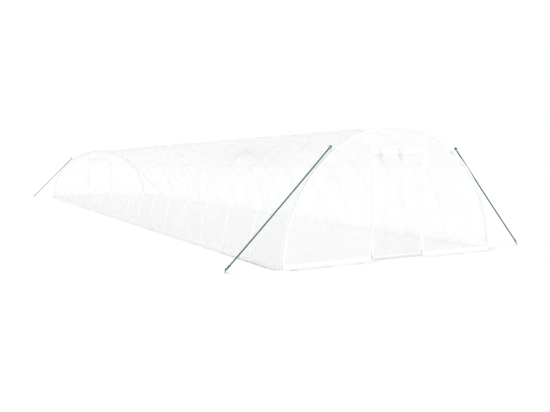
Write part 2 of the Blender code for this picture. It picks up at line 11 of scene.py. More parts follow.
import bmesh
import bpy
import numpy as np
from mathutils import Vector, noise
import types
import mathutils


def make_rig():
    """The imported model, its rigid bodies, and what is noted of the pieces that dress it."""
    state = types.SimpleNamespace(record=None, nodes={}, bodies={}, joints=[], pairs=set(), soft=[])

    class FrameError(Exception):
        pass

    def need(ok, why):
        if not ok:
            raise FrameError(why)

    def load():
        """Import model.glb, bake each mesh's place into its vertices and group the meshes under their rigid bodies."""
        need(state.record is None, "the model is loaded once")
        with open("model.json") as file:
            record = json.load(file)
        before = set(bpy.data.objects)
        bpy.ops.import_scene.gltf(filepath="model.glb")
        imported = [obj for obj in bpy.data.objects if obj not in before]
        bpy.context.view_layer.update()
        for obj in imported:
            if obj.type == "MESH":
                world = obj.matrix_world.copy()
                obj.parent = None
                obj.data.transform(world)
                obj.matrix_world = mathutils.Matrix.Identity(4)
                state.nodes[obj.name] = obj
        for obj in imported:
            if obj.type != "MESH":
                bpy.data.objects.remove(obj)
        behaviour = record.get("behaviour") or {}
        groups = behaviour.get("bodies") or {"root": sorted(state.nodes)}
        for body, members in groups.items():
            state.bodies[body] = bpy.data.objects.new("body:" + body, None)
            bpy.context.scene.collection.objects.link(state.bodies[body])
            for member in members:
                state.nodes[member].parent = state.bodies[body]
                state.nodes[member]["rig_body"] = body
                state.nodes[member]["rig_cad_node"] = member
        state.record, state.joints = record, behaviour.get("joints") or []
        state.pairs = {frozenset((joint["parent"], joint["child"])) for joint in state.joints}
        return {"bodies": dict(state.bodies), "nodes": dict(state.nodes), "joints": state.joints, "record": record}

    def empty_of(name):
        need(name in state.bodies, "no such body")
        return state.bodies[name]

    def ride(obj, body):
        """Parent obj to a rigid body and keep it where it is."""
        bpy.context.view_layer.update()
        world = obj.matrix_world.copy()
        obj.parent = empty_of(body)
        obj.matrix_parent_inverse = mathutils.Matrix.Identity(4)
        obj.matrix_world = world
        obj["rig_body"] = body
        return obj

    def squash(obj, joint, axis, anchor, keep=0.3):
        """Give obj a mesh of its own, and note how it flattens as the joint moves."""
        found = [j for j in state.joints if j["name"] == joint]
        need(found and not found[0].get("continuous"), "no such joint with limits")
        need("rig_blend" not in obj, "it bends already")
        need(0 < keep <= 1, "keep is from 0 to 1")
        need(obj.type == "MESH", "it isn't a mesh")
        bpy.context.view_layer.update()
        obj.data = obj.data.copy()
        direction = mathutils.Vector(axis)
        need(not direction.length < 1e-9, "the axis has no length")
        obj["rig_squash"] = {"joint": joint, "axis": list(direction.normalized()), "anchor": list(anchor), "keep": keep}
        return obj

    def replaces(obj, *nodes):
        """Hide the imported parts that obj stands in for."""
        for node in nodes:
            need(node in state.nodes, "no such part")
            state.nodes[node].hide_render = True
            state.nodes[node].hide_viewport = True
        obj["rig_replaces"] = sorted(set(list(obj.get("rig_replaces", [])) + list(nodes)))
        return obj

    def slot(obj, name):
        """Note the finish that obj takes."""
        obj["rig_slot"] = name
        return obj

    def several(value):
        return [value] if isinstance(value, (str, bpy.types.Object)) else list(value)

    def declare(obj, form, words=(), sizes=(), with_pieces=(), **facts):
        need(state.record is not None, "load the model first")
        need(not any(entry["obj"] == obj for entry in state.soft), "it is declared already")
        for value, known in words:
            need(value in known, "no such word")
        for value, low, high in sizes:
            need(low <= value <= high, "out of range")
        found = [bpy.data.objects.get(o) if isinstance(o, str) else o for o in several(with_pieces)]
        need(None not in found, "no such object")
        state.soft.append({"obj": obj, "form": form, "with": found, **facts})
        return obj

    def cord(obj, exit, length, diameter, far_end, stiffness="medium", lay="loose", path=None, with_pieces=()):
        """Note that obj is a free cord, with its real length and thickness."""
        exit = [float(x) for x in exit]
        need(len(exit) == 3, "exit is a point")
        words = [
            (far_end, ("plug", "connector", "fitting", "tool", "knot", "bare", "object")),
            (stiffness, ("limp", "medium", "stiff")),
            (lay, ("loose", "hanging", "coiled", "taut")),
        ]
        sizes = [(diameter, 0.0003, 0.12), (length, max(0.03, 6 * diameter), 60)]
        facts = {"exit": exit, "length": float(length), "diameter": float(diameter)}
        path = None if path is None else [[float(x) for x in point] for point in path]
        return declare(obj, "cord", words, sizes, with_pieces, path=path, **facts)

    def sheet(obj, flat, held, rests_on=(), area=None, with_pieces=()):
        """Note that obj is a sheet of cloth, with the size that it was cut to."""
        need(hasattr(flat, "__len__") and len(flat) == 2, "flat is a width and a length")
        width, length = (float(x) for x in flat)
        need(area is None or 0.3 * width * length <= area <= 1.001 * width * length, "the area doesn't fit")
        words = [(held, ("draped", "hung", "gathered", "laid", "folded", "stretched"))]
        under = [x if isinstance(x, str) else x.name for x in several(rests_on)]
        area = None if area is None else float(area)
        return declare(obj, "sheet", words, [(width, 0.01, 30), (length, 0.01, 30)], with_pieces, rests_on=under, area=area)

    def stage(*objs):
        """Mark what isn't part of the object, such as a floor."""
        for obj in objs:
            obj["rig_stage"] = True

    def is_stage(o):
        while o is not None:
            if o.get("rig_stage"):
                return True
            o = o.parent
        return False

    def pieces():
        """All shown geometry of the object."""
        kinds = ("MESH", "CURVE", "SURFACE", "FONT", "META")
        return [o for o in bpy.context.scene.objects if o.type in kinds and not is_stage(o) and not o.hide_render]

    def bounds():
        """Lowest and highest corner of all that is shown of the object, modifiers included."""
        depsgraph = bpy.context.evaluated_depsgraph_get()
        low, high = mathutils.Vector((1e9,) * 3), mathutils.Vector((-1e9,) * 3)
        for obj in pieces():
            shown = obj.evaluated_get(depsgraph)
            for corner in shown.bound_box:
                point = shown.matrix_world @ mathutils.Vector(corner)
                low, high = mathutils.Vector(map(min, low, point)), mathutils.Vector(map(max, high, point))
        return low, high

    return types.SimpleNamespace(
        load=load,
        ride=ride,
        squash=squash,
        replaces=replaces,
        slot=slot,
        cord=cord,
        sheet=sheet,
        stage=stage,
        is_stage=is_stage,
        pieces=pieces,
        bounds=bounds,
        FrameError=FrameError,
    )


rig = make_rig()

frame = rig.load()
CAD_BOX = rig.bounds()

# Frame, as in the part's source
LENGTH = 20.0
BAYS = 20
BAY = LENGTH / BAYS
ARCH_RADIUS = 1.98
TUBE = 0.025
THIN_TUBE = 0.019
FOOT_HEIGHT = 0.026
FOOT_ANGLE = math.asin(FOOT_HEIGHT / ARCH_RADIUS)
INSIDE_RADIUS = 1.957
SHOULDER_ANGLE = math.radians(45.376)
EAR_WIDTH = 0.022
EAR_THICKNESS = 0.003
EAR_REACH = 0.004
EAR_LENGTH = 0.060
TAPER = 0.030
SEAT = 0.0145
POST_X = 0.5
LINTEL_HEIGHT = 1.6125
SILL_HALF = 1.967
BRACE_ANGLES = (math.radians(4), math.radians(30))
BRACE_FLAT = 0.024
BRACE_OFFSET = 0.008

# Places of the hoops, and joints and bolts that only the looks have
HOOP_YS = [BAY * number - LENGTH / 2 for number in range(BAYS + 1)]
HOOP_JOINTS = (math.radians(62), math.radians(118))
TUBE_JOINTS = np.arange(-7.5, 9.0, 2.0)
BOLT_SIZE = 0.010
PRESSED_WIDTH = EAR_WIDTH + 0.0015
PURLIN_BOLT = 0.0175
RAIL_BOLT = 0.046
HOOP_SOCKET = 0.0215
HOOP_FLARE = 0.0014
HOOP_SWAGE = 0.0016
TUBE_SOCKET = 0.046
TUBE_PLUG = 0.031
TUBE_FLARE = 0.0011
TUBE_SWAGE = 0.0012
RIVET = ((0, 0.0052), (0.0012, 0.0052), (0.0030, 0.0038), (0.0036, 0.0020))
CLEARANCE = 0.0005

# Cover
COVER_RADIUS = 1.9935
COVER_HALF = 10.0135
SKIRT = 0.15
FILLET = 0.012
DRAW_IN = 0.014
PANEL_RADIUS = 1.9925
PANEL_Y = -0.0145
BINDING_Y = -0.0162
BINDING_RADIUS = 1.9944
BINDING_WIDTH = 0.032
DOORWAY_HALF = 0.47
DOORWAY_TOP = 1.60
GROUND_GAP = 0.0022
GRID_PITCH = 0.012
GRID_THREAD = 0.0018
DOUBLED = 1.15
SEAM = 0.012
COVER_HEM = 0.060
COVER_FOOT_HEM = 0.045
PANEL_HEM = 0.045
PANEL_FOOT_HEM = 0.050
HEM_EDGE = 0.008
BAY_SHARES = (0.0, 0.012, 0.035, 0.075, 0.13, 0.21, 0.30, 0.40, 0.5)
SKIRT_SHARES = (1, 0.985, 0.87, 0.75, 0.6, 0.45, 0.3, 0.15)
FLAP_WIDTHS = np.array([0, 0.004, 0.012, 0.03, 0.05, 0.07, 0.09, 0.11, 0.125, 0.132, 0.147, 0.149])

# Zips: the tape's section in x and y, and the chain of teeth
ZIP_X = 0.488
ZIP_SECTION = ((-0.015, -0.0160), (-0.0145, -0.0166), (-0.004, -0.0167), (0.004, -0.0167),
               (0.0145, -0.0166), (0.015, -0.0160))
TOOTH = (0.0052, 0.0024, 0.0036)
TOOTH_Y = -0.0176
TOOTH_SHIFT = 0.0013
TOOTH_STEP = 0.0030
TOOTH_LOW = 0.010
TEETH = 528
ZIP_STOPS = (0.006, 1.5995)
SLIDER_Z = 0.070
PULL_DROP = 0.014

# Door
DOOR_HALF = 0.476
DOOR_LOW = 0.044
DOOR_TOP = 1.62
DOOR_Y = -0.0180
FOLD_DEPTH = 0.012
FOLDS = 3
LIFT = 1.5
BAR = 0.012
BAR_HALF = 0.462
BAR_Y = -0.0255
BAR_Z = 0.036
SLEEVE = 0.0072
SLEEVE_LOW = 0.0265
BAR_CAP = ((0, 0.0030), (0.0006, 0.0056), (0.0018, 0.0066), (0.016, 0.0066), (0.0165, 0.0062))
SIDE_HEM_X = 0.448
TOP_HEM_Z = 1.585
FOOT_HEM_Z = 0.064
DOOR_HEM_EDGE = 0.006

# Ties
HEADER_Z = 1.65
HEADER_Y = -0.01725
TIE_XS = (-0.35, 0.02)
TIE_Y = -0.043
BOW_Z = 1.56
RIBBON = 0.0014

# Ropes and pegs
ROPE = 0.021
ROPE_CROWN = 0.0236
ROPE_SAG = 0.008
TAB_ANGLE = math.radians(53.5)
TAB_BASE = 1.9876
TAB_HOLE_REACH = 0.070
TAB_WIDTH = 0.056
TAB_THICKNESS = 0.005
TAB_Y = 9.98
TAB_HALF_TOP = 0.028
EYELET_HOLE = 0.0125
EYELET_HALF = ((-0.0030, 0.0121), (-0.0034, 0.0127), (-0.0034, 0.0168), (-0.0028, 0.0176),
               (-0.0022, 0.0176), (-0.0022, 0.0124))
KNOT_LENGTH = 0.038
KNOT_ROPE = 0.0130
HITCH_ROPE = 0.0085
TAIL_ROPE = 0.0115
WHIPPING_CORD = 0.0032
WHIPPING_LENGTH = 0.036
WHIPPING_AT = 0.062
PEG_X = 2.79
PEG_Y = 9.92
PEG_WIRE = 0.008
PEG_WIDTH = 0.056
PEG_HEIGHT = 0.058

# Camera, which stands in front of the near left corner, and floor and light
CAMERA_PLACE = (-5.905, -16.855, 1.428)
CAMERA_TURN = (math.radians(90 - 4.108), 0.0, math.radians(-28.97))
CAMERA_LENS = 38.45
WHITE = (1.0, 1.0, 1.0, 1.0)
FLOOR_COLOUR = (0.88, 0.88, 0.88, 1.0)
FLOOR_REACH = 400.0
# The floor's lift is lower inside the tunnel's footprint, which paints a shadow there.
LIFT_UNDER_PAINTED_SHADOW = 0.06
LIFT_OUTSIDE = 0.10
SKY_LIGHT = 0.93
SUN_LIGHT = 0.92
SUN_ANGLE = math.radians(35)
SUN_WAY = (0.54, 0.74, -0.40)

ENDS = {"front": -1, "back": 1}
SIDES = {"left": -1, "right": 1}
CORNERS = [(f"{end}_{side}", SIDES[side], ENDS[end]) for end in ENDS for side in SIDES]


# Vectors and numbers

def vec(*values):
    return np.array(values, float)


def unit(value):
    value = np.asarray(value, float)
    return value / np.maximum(np.linalg.norm(value, axis=-1, keepdims=True), 1e-12)


def square_to(value, axis):
    """The unit vector that a vector leaves when its part along an axis is taken away."""
    return unit(value - axis * (value @ axis))


def mixed(first, second, share):
    return first * (1 - share) + second * share


def ease(share):
    share = np.clip(share, 0.0, 1.0)
    return share * share * (3 - 2 * share)


def fall(value, start, length):
    """1 up to a start, and from there down to 0 over a length."""
    return 1 - ease((value - start) / length)


def rough(*values):
    """Smooth noise from about -1 to 1, the same each time."""
    return noise.noise(Vector(values), noise_basis="PERLIN_ORIGINAL")


def arch(radius, angle, y=0.0):
    """A point of an arch by its angle above the ground on the right."""
    return vec(radius * math.cos(angle), y, radius * math.sin(angle))


def distances(path):
    """How far along a path each of its points is."""
    return np.concatenate([[0], np.cumsum(np.linalg.norm(np.diff(path, axis=0), axis=1))])


def pairs(first, second):
    """Each value of a list with each of another, as a grid."""
    return np.stack(np.meshgrid(first, second, indexing="ij"), axis=-1)


def offsets(origin, sign, steps):
    """Points by their steps from an origin, mirrored in X if the sign is -1."""
    return origin + np.array(steps) * (sign, 1, 1)


# Shapes

def smooth_path(points, count):
    """A smooth curve through points, in as many steps from each to the next."""
    points = np.asarray(points, float)
    ends = np.vstack([2 * points[0] - points[1], points, 2 * points[-1] - points[-2]])
    share = np.linspace(0, 1, count, endpoint=False)[:, None]
    spans = [0.5 * (2 * b + (c - a) * share + (2 * a - 5 * b + 4 * c - d) * share ** 2
                    + (3 * b - a - 3 * c + d) * share ** 3)
             for a, b, c, d in zip(ends, ends[1:], ends[2:], ends[3:])]
    return np.vstack([*spans, points[-1]])


class Shape:
    """Faces of one piece, and a row for each point: x, y, z, its flat place, layers, and soil with painted shade."""

    def __init__(self):
        self.rows, self.faces, self.slots = np.zeros((0, 7)), [], []

    def add(self, points, faces, flat=None, layers=0.0, soil=0.0, slot=0):
        points = np.reshape(points, (-1, 3))
        flat = points[:, :2] if flat is None else np.reshape(flat, (-1, 2))
        marks = [np.zeros(len(points)) + np.ravel(mark) for mark in (layers, soil)]
        start = len(self.rows)
        self.rows = np.vstack([self.rows, np.column_stack([points, flat, *marks])])
        self.faces += [tuple(start + corner for corner in face) for face in faces]
        self.slots += [slot] * len(faces)

    def grid(self, points, flat, layers=0.0, soil=0.0, slot=0, caps=False):
        """Rows of points joined by four-sided faces. Caps close the first and the last row."""
        spots = np.arange(points[..., 0].size).reshape(points.shape[:2])
        faces = np.stack([spots[:-1, :-1], spots[:-1, 1:], spots[1:, 1:], spots[1:, :-1]], -1)
        faces = faces.reshape(-1, 4).tolist()
        if caps:
            faces += [spots[0, -2::-1].tolist(), spots[-1, :-1].tolist()]
        self.add(points, faces, flat, layers, soil, slot)

    def surface(self, rows, columns, place, flat=None, axes=(0, 2)):
        """A grid of what place gives for a row and a column: x, y, z, layers, and soil with painted shade."""
        made = np.array([[place(row, column) for column in columns] for row in rows], float)
        points = made[..., :3]
        self.grid(points, points[..., axes] if flat is None else flat, made[..., 3], made[..., 4])
        return points


def ring(centre, across, up, width, height, square=2.0, sides=14, turn=0.0, lobes=0, depth=0.0):
    """A closed ring, round or nearly rectangular, with its first point again at the end."""
    angle = math.tau * (np.arange(sides + 1) + 0.5) / sides
    cos, sin = np.cos(angle), np.sin(angle)
    x = np.sign(cos) * np.abs(cos) ** (2 / square) * width / 2
    y = np.sign(sin) * np.abs(sin) ** (2 / square) * height / 2
    if lobes:
        swell = 1 - depth * (0.5 - 0.5 * np.cos(lobes * angle))
        turned = angle + turn
        x, y = width / 2 * swell * np.cos(turned), height / 2 * swell * np.sin(turned)
    return centre + x[:, None] * across + y[:, None] * up


def round_ring(centre, across, up, radius, sides):
    return ring(centre, across, up, 2 * radius, 2 * radius, sides=sides)


def skin(shape, rings, slot=0, caps=True):
    """Joins rings into a tube. Its flat places run along it in metres and round it from 0 to 1."""
    rings = np.array(rings)
    columns = rings.shape[1]
    flat = pairs(distances(rings[:, :-1].mean(1)), np.arange(columns) / (columns - 1))
    shape.grid(rings, flat, slot=slot, caps=caps)


def frames_along(path, up):
    """Directions across and up, square to a path at each point, that hardly turn."""
    along = unit(np.gradient(path, axis=0))
    ups = []
    for direction in along:
        up = square_to(up, direction)
        ups.append(up)
    ups = np.array(ups)
    return np.cross(along, ups), ups


def tube(shape, path, width, height=None, up=(0, 0, 1), square=2.0, sides=14, slot=0, turns=None,
         lobes=0, depth=0.0):
    """A tube, bar or ribbon along a path. Its width and height may change along the way."""
    path = np.asarray(path, float)
    across, ups = frames_along(path, np.asarray(up, float))
    widths = np.zeros(len(path)) + width
    heights = widths if height is None else np.zeros(len(path)) + height
    turns = np.zeros(len(path)) if turns is None else turns
    rings = [ring(*spot, square, sides, turn, lobes, depth)
             for *spot, turn in zip(path, across, ups, widths, heights, turns)]
    skin(shape, rings, slot)


def turned(shape, origin, axis, profile, sides):
    """A solid of the second material, turned round an axis, from distances and radii."""
    axis = unit(axis)
    helper = vec(0, 0, 1) if abs(axis[2]) < 0.9 else vec(1, 0, 0)
    across = unit(np.cross(axis, helper))
    up = np.cross(axis, across)
    skin(shape, [round_ring(origin + axis * distance, across, up, radius, sides)
                 for distance, radius in profile], 1)


def plate(shape, origin, across, up, outline, thickness, hole=None):
    """A flat plate with an outline, centred on its thickness, and a hole of as many points."""
    normal = np.cross(across, up)

    def lifted(line, height):
        line = np.vstack([line, line[:1]])
        return origin + line[:, :1] * across + line[:, 1:] * up + normal * height

    half = thickness / 2
    outer = [lifted(outline, -half), lifted(outline, half)]
    if hole is None:
        skin(shape, outer)
    else:
        skin(shape, [*outer, lifted(hole, half), lifted(hole, -half), outer[0]], caps=False)


def circle(radius, count):
    angle = math.tau * np.arange(count) / count
    return np.stack([radius * np.cos(angle), radius * np.sin(angle)], 1)


def round_box(width, height, radius, count, centre=(0, 0)):
    """A rectangle with round corners, as equally many points as rays from its centre."""
    line = []
    for angle in math.tau * np.arange(count) / count:
        cos, sin = math.cos(angle), math.sin(angle)
        low, high = 0.0, width + height
        for _ in range(40):
            middle = (low + high) / 2
            x, y = abs(middle * cos), abs(middle * sin)
            over_x, over_y = x - width / 2 + radius, y - height / 2 + radius
            outside = math.hypot(max(over_x, 0), max(over_y, 0)) > radius
            low, high = (low, middle) if outside else (middle, high)
        line.append((low * cos, low * sin))
    return np.array(line) + centre


def bolt(shape, origin, axis, nut_at=None):
    """A hexagon bolt with its washer at the origin, and a nut if its distance is given."""
    axis = unit(axis)
    washer, head, thread = BOLT_SIZE * 0.12, BOLT_SIZE * 0.42, BOLT_SIZE * 0.28
    hexagon = BOLT_SIZE / math.sqrt(3)

    def add_head(place, way, crown):
        turned(shape, place, way, [(0, BOLT_SIZE), (washer, BOLT_SIZE)], 18)
        turned(shape, place + way * washer, way,
               [(0, hexagon), (head * 0.8, hexagon), (head, hexagon * crown)], 6)

    add_head(origin, -axis, 0.86)
    if nut_at:
        far = origin + axis * nut_at
        add_head(far, axis, 0.88)
        turned(shape, far + axis * washer, axis,
               [(0, thread), (head * 1.35, thread), (head * 1.5, BOLT_SIZE * 0.2)], 10)


def finish_mesh(name, shape, materials, sharp):
    mesh = bpy.data.meshes.new(name)
    mesh.from_pydata(shape.rows[:, :3].tolist(), [], shape.faces)
    mesh.polygons.foreach_set("material_index", shape.slots)
    corners = np.zeros(len(mesh.loops), np.int32)
    mesh.loops.foreach_get("vertex_index", corners)
    layer = mesh.uv_layers.new(name="Flat")
    layer.data.foreach_set("uv", shape.rows[corners, 3:5].astype(np.float32).ravel())
    for mark, column in (("layers", 5), ("soil", 6)):
        attribute = mesh.attributes.new(mark, "FLOAT", "POINT")
        attribute.data.foreach_set("value", shape.rows[:, column].astype(np.float32))
    bm = bmesh.new()
    bm.from_mesh(mesh)
    bmesh.ops.remove_doubles(bm, verts=bm.verts[:], dist=2e-6)
    bmesh.ops.recalc_face_normals(bm, faces=bm.faces[:])
    bm.to_mesh(mesh)
    bm.free()
    for material in materials:
        mesh.materials.append(material)
    mesh.shade_smooth()
    mesh.set_sharp_from_angle(angle=math.radians(sharp))
    return mesh


def new_object(name, data):
    obj = bpy.data.objects.new(name, data)
    bpy.context.scene.collection.objects.link(obj)
    return obj


def make_piece(name, shape, look, replaced=None, body="shell", end=None):
    """Turns a shape into a piece that rides on a body of the frame.

    A shape that is drawn in an end's own frame is moved to that end. The back is turned half
    round. The piece may take the place of one node.
    """
    if end:
        shape.rows[:, :2] *= -ENDS[end]
        shape.rows[:, 1] += ENDS[end] * LENGTH / 2
    materials, slot, sharp = LOOKS[look]
    obj = new_object(name, finish_mesh(name, shape, materials, sharp))
    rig.ride(obj, body)
    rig.slot(obj, slot)
    if replaced:
        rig.replaces(obj, replaced)
    return obj


# Materials

class Value:
    """What a node gives out, which can be added, subtracted and multiplied like a number."""

    def __init__(self, nodes, socket):
        self.nodes, self.socket = nodes, socket

    def __add__(self, other):
        return self.nodes.math("ADD", self, other)

    def __sub__(self, other):
        return self.nodes.math("SUBTRACT", self, other)

    def __rsub__(self, other):
        return self.nodes.math("SUBTRACT", other, self)

    def __mul__(self, other):
        return self.nodes.math("MULTIPLY", self, other)

    __radd__ = __add__

    def clamped(self):
        """The same value, held between 0 and 1."""
        self.socket.node.use_clamp = True
        return self


class Nodes:
    """The nodes of a material or a world, with short ways to add to them."""

    def __init__(self, owner, shader="Principled BSDF"):
        owner.use_nodes = True
        self.owner, self.tree = owner, owner.node_tree
        self.shader = self.tree.nodes[shader]

    def link(self, source, socket):
        if isinstance(source, Value):
            self.tree.links.new(source.socket, socket)
        else:
            socket.default_value = source

    def set(self, name, source):
        self.link(source, self.shader.inputs[name])

    def add(self, kind, sources=None, output=0, **settings):
        """A new node with its settings, and its sockets fed by name or number."""
        node = self.tree.nodes.new("ShaderNode" + kind)
        for name, value in settings.items():
            setattr(node, name, value)
        for name, source in (sources or {}).items():
            self.link(source, node.inputs[name])
        return Value(self, node.outputs[output])

    def math(self, operation, *values):
        return self.add("Math", dict(enumerate(values)), operation=operation)

    def mix(self, share, low, high):
        low, high = ((*colour, 1.0) if isinstance(colour, tuple) else colour
                     for colour in (low, high))
        return self.add("Mix", {0: share, 6: low, 7: high}, 2, data_type="RGBA")

    def spread(self, value, low, high, to_low=0.0, to_high=1.0):
        return self.add("MapRange", dict(enumerate((value, low, high, to_low, to_high))),
                        interpolation_type="SMOOTHSTEP")

    def flat(self):
        return self.add("UVMap", uv_map="Flat")

    def place(self):
        return self.add("TexCoord", output="Object")

    def parts(self, vector):
        node = self.add("SeparateXYZ", {0: vector}).socket.node
        return [Value(self, socket) for socket in node.outputs]

    def scaled(self, vector, scale):
        return self.add("Mapping", {"Vector": vector, "Scale": scale})

    def mark(self, name):
        return self.add("Attribute", output="Fac", attribute_name=name)

    def noise(self, vector, scale, detail=3.0, roughness=0.5, distortion=0.0):
        return self.add("TexNoise", {"Vector": vector, "Scale": scale, "Detail": detail,
                                     "Roughness": roughness, "Distortion": distortion}, "Fac")

    def bump(self, height, strength, distance):
        self.set("Normal", self.add("Bump", {"Strength": strength, "Distance": distance,
                                             "Height": height}))

    def seen(self):
        """1 on camera, glossy and transmission rays, and 0 on the others."""
        rays = self.add("LightPath").socket.node.outputs
        camera, glossy, through = (
            Value(self, rays[f"Is {kind} Ray"]) for kind in ("Camera", "Glossy", "Transmission"))
        return self.math("MAXIMUM", self.math("MAXIMUM", camera, glossy), through)


def new_material(name):
    return Nodes(bpy.data.materials.new(name))


def threads(nodes, place):
    """Lines of a reinforcing grid: 1 on a thread and 0 between, from a place in metres."""
    share = nodes.math("FRACT", nodes.math("DIVIDE", place, GRID_PITCH))
    away = nodes.math("ABSOLUTE", share - 0.5)
    edge = GRID_THREAD / GRID_PITCH / 2
    return nodes.spread(away, 0.5 - 1.6 * edge, 0.5 - 0.5 * edge)


def film_material(name, alpha, milk):
    """Woven-in grid, milky clouds, crinkles, welded layers, and soil with painted shade, all on the flat cut."""
    nodes = new_material(name)
    flat = nodes.flat()
    u, v, _ = nodes.parts(flat)
    grid = nodes.math("MAXIMUM", threads(nodes, u), threads(nodes, v))
    clouds = nodes.spread(nodes.noise(flat, 1.1, 5.0, 0.55, 0.3), 0.38, 0.68)
    streaks = nodes.noise(nodes.scaled(flat, (9.0, 0.9, 1.0)), 1.0, 4.0)
    crinkle = nodes.noise(nodes.scaled(flat, (1.0, 0.6, 1.0)), 9.0, 5.0, 0.6, 1.2)
    fine = nodes.noise(flat, 34.0, 4.0, 0.6, 0.6)
    layers, soil = nodes.mark("layers"), nodes.mark("soil")
    patches = nodes.spread(nodes.noise(flat, 7.0, 5.0, 0.65), 0.30, 0.62, 0.20, 0.60)
    # The soil mark carries soil and painted shade, which grey the film in patches.
    soil_and_shade_share = (soil * patches).clamped()
    colour = nodes.mix(clouds, (0.970, 0.975, 0.980), milk)
    colour = nodes.mix(grid * 0.35, colour, (0.97, 0.975, 0.975))
    colour = nodes.mix((layers * 0.8).clamped(), colour, (0.955, 0.96, 0.96))
    nodes.set("Base Color", nodes.mix(soil_and_shade_share, colour, (0.650, 0.650, 0.642)))
    cover = alpha + clouds * 0.07 + grid * 0.14 + layers * 0.50 + soil_and_shade_share * 0.20
    nodes.set("Alpha", cover.clamped())
    nodes.set("Roughness", (0.40 + fine * 0.16 + soil_and_shade_share * 0.3).clamped())
    nodes.set("Specular IOR Level", 0.42)
    nodes.bump(grid * 0.35 + crinkle * 0.9 + streaks * 1.2 + fine * 0.5, 0.22, 0.0012)
    return nodes.owner


def steel_material(name, light, dark, low=0.34, high=0.52):
    """Galvanised steel: pale spangles, dull patches and white rust near the ground."""
    nodes = new_material(name)
    place = nodes.place()
    spangles = nodes.add("TexVoronoi", {"Vector": place, "Scale": 210.0}, "Color")
    shade = nodes.parts(spangles)[0]
    patches = nodes.spread(nodes.noise(place, 9.0, 5.0, 0.6), 0.35, 0.68)
    colour = nodes.mix(shade * 0.55, light, dark)
    colour = nodes.mix(patches * 0.45, colour, dark)
    low_down = nodes.spread(nodes.parts(place)[2], 0.10, 0.0)
    chalk = low_down * nodes.spread(nodes.noise(place, 70.0, 5.0, 0.7), 0.48, 0.66)
    nodes.set("Base Color", nodes.mix(chalk, colour, (0.80, 0.80, 0.77)))
    nodes.set("Metallic", 0.88 - chalk * 0.5)
    nodes.set("Roughness", nodes.spread(shade * 0.5 + patches * 0.5, 0.1, 0.9, low, high))
    nodes.bump(nodes.noise(place, 420.0, 3.0, 0.6), 0.12, 0.0004)
    return nodes.owner


def rope_material():
    """Dark green fibre: yarns that follow the strands, worn paler in patches."""
    nodes = new_material("rope_fibre")
    yarns = nodes.noise(nodes.scaled(nodes.flat(), (55.0, 26.0, 1.0)), 1.0, 4.0, 0.65, 0.4)
    wear = nodes.spread(nodes.noise(nodes.place(), 26.0, 4.0, 0.6), 0.50, 0.74)
    colour = nodes.mix(nodes.spread(yarns, 0.30, 0.70), (0.007, 0.085, 0.054),
                       (0.018, 0.190, 0.122))
    nodes.set("Base Color", nodes.mix(wear * 0.35, colour, (0.060, 0.240, 0.170)))
    nodes.set("Roughness", nodes.spread(yarns, 0.2, 0.8, 0.55, 0.78))
    nodes.set("Sheen Weight", 0.15)
    nodes.set("Sheen Roughness", 0.5)
    nodes.bump(yarns, 0.7, 0.0012)
    return nodes.owner


def webbing_material(name, light, dark, pitch):
    """Ribbed tape: weft ribs across it and warp yarns along it."""
    nodes = new_material(name)
    u, v, _ = nodes.parts(nodes.flat())
    weave = nodes.math("SINE", u * (math.tau / pitch)) * nodes.math("SINE", v * (math.tau * 22))
    grain = nodes.noise(nodes.place(), 900.0, 2.0)
    colour = nodes.mix(nodes.spread(weave, -1.0, 1.0), dark, light)
    colour = nodes.mix(nodes.spread(grain, 0.35, 0.75, 0.0, 0.35), colour, dark)
    nodes.set("Base Color", colour)
    nodes.set("Roughness", nodes.spread(grain, 0.3, 0.7, 0.72, 0.9))
    nodes.set("Sheen Weight", 0.2)
    nodes.bump(weave + grain * 0.5, 0.5, 0.0005)
    return nodes.owner


def plain_material(name, light, dark, roughness, metallic, scale):
    """Moulded plastic or cast metal, mottled and scuffed at a fine scale."""
    nodes = new_material(name)
    place = nodes.place()
    mottle = nodes.noise(place, scale, 5.0, 0.6)
    scuff = nodes.spread(nodes.noise(place, scale * 6, 4.0, 0.7, 1.5), 0.56, 0.72)
    colour = nodes.mix(nodes.spread(mottle, 0.35, 0.65), dark, light)
    nodes.set("Base Color", nodes.mix(scuff * 0.3, colour, light))
    nodes.set("Metallic", metallic)
    nodes.set("Roughness", nodes.spread(scuff, 0.0, 1.0, roughness, roughness + 0.2))
    nodes.bump(mottle, 0.15, 0.0003)
    return nodes.owner


FILM = film_material("cover_film", 0.37, (0.955, 0.96, 0.965))
DOOR_FILM = film_material("door_film", 0.35, (0.955, 0.96, 0.965))
STEEL = steel_material("galvanised_tube", (0.985, 0.988, 0.99), (0.945, 0.95, 0.955))
ZINC = steel_material("zinc_bolt", (0.80, 0.80, 0.78), (0.58, 0.58, 0.56), 0.25, 0.42)
WIRE = steel_material("peg_wire", (0.78, 0.79, 0.80), (0.60, 0.61, 0.62))
FIBRE = rope_material()
TAPE = webbing_material("tie_tape", (0.83, 0.84, 0.83), (0.69, 0.70, 0.69), 0.0022)
ZIP_TAPE = webbing_material("zip_tape", (0.90, 0.905, 0.905), (0.86, 0.865, 0.865), 0.0016)
COIL = plain_material("zip_coil", (0.87, 0.875, 0.87), (0.82, 0.825, 0.82), 0.35, 0.0, 300.0)
NICKEL = plain_material("zip_slider_metal", (0.84, 0.84, 0.83), (0.68, 0.68, 0.67), 0.3, 0.9,
                        260.0)
EYELET = plain_material("eyelet_metal", (0.72, 0.72, 0.70), (0.55, 0.55, 0.53), 0.28, 0.95, 320.0)

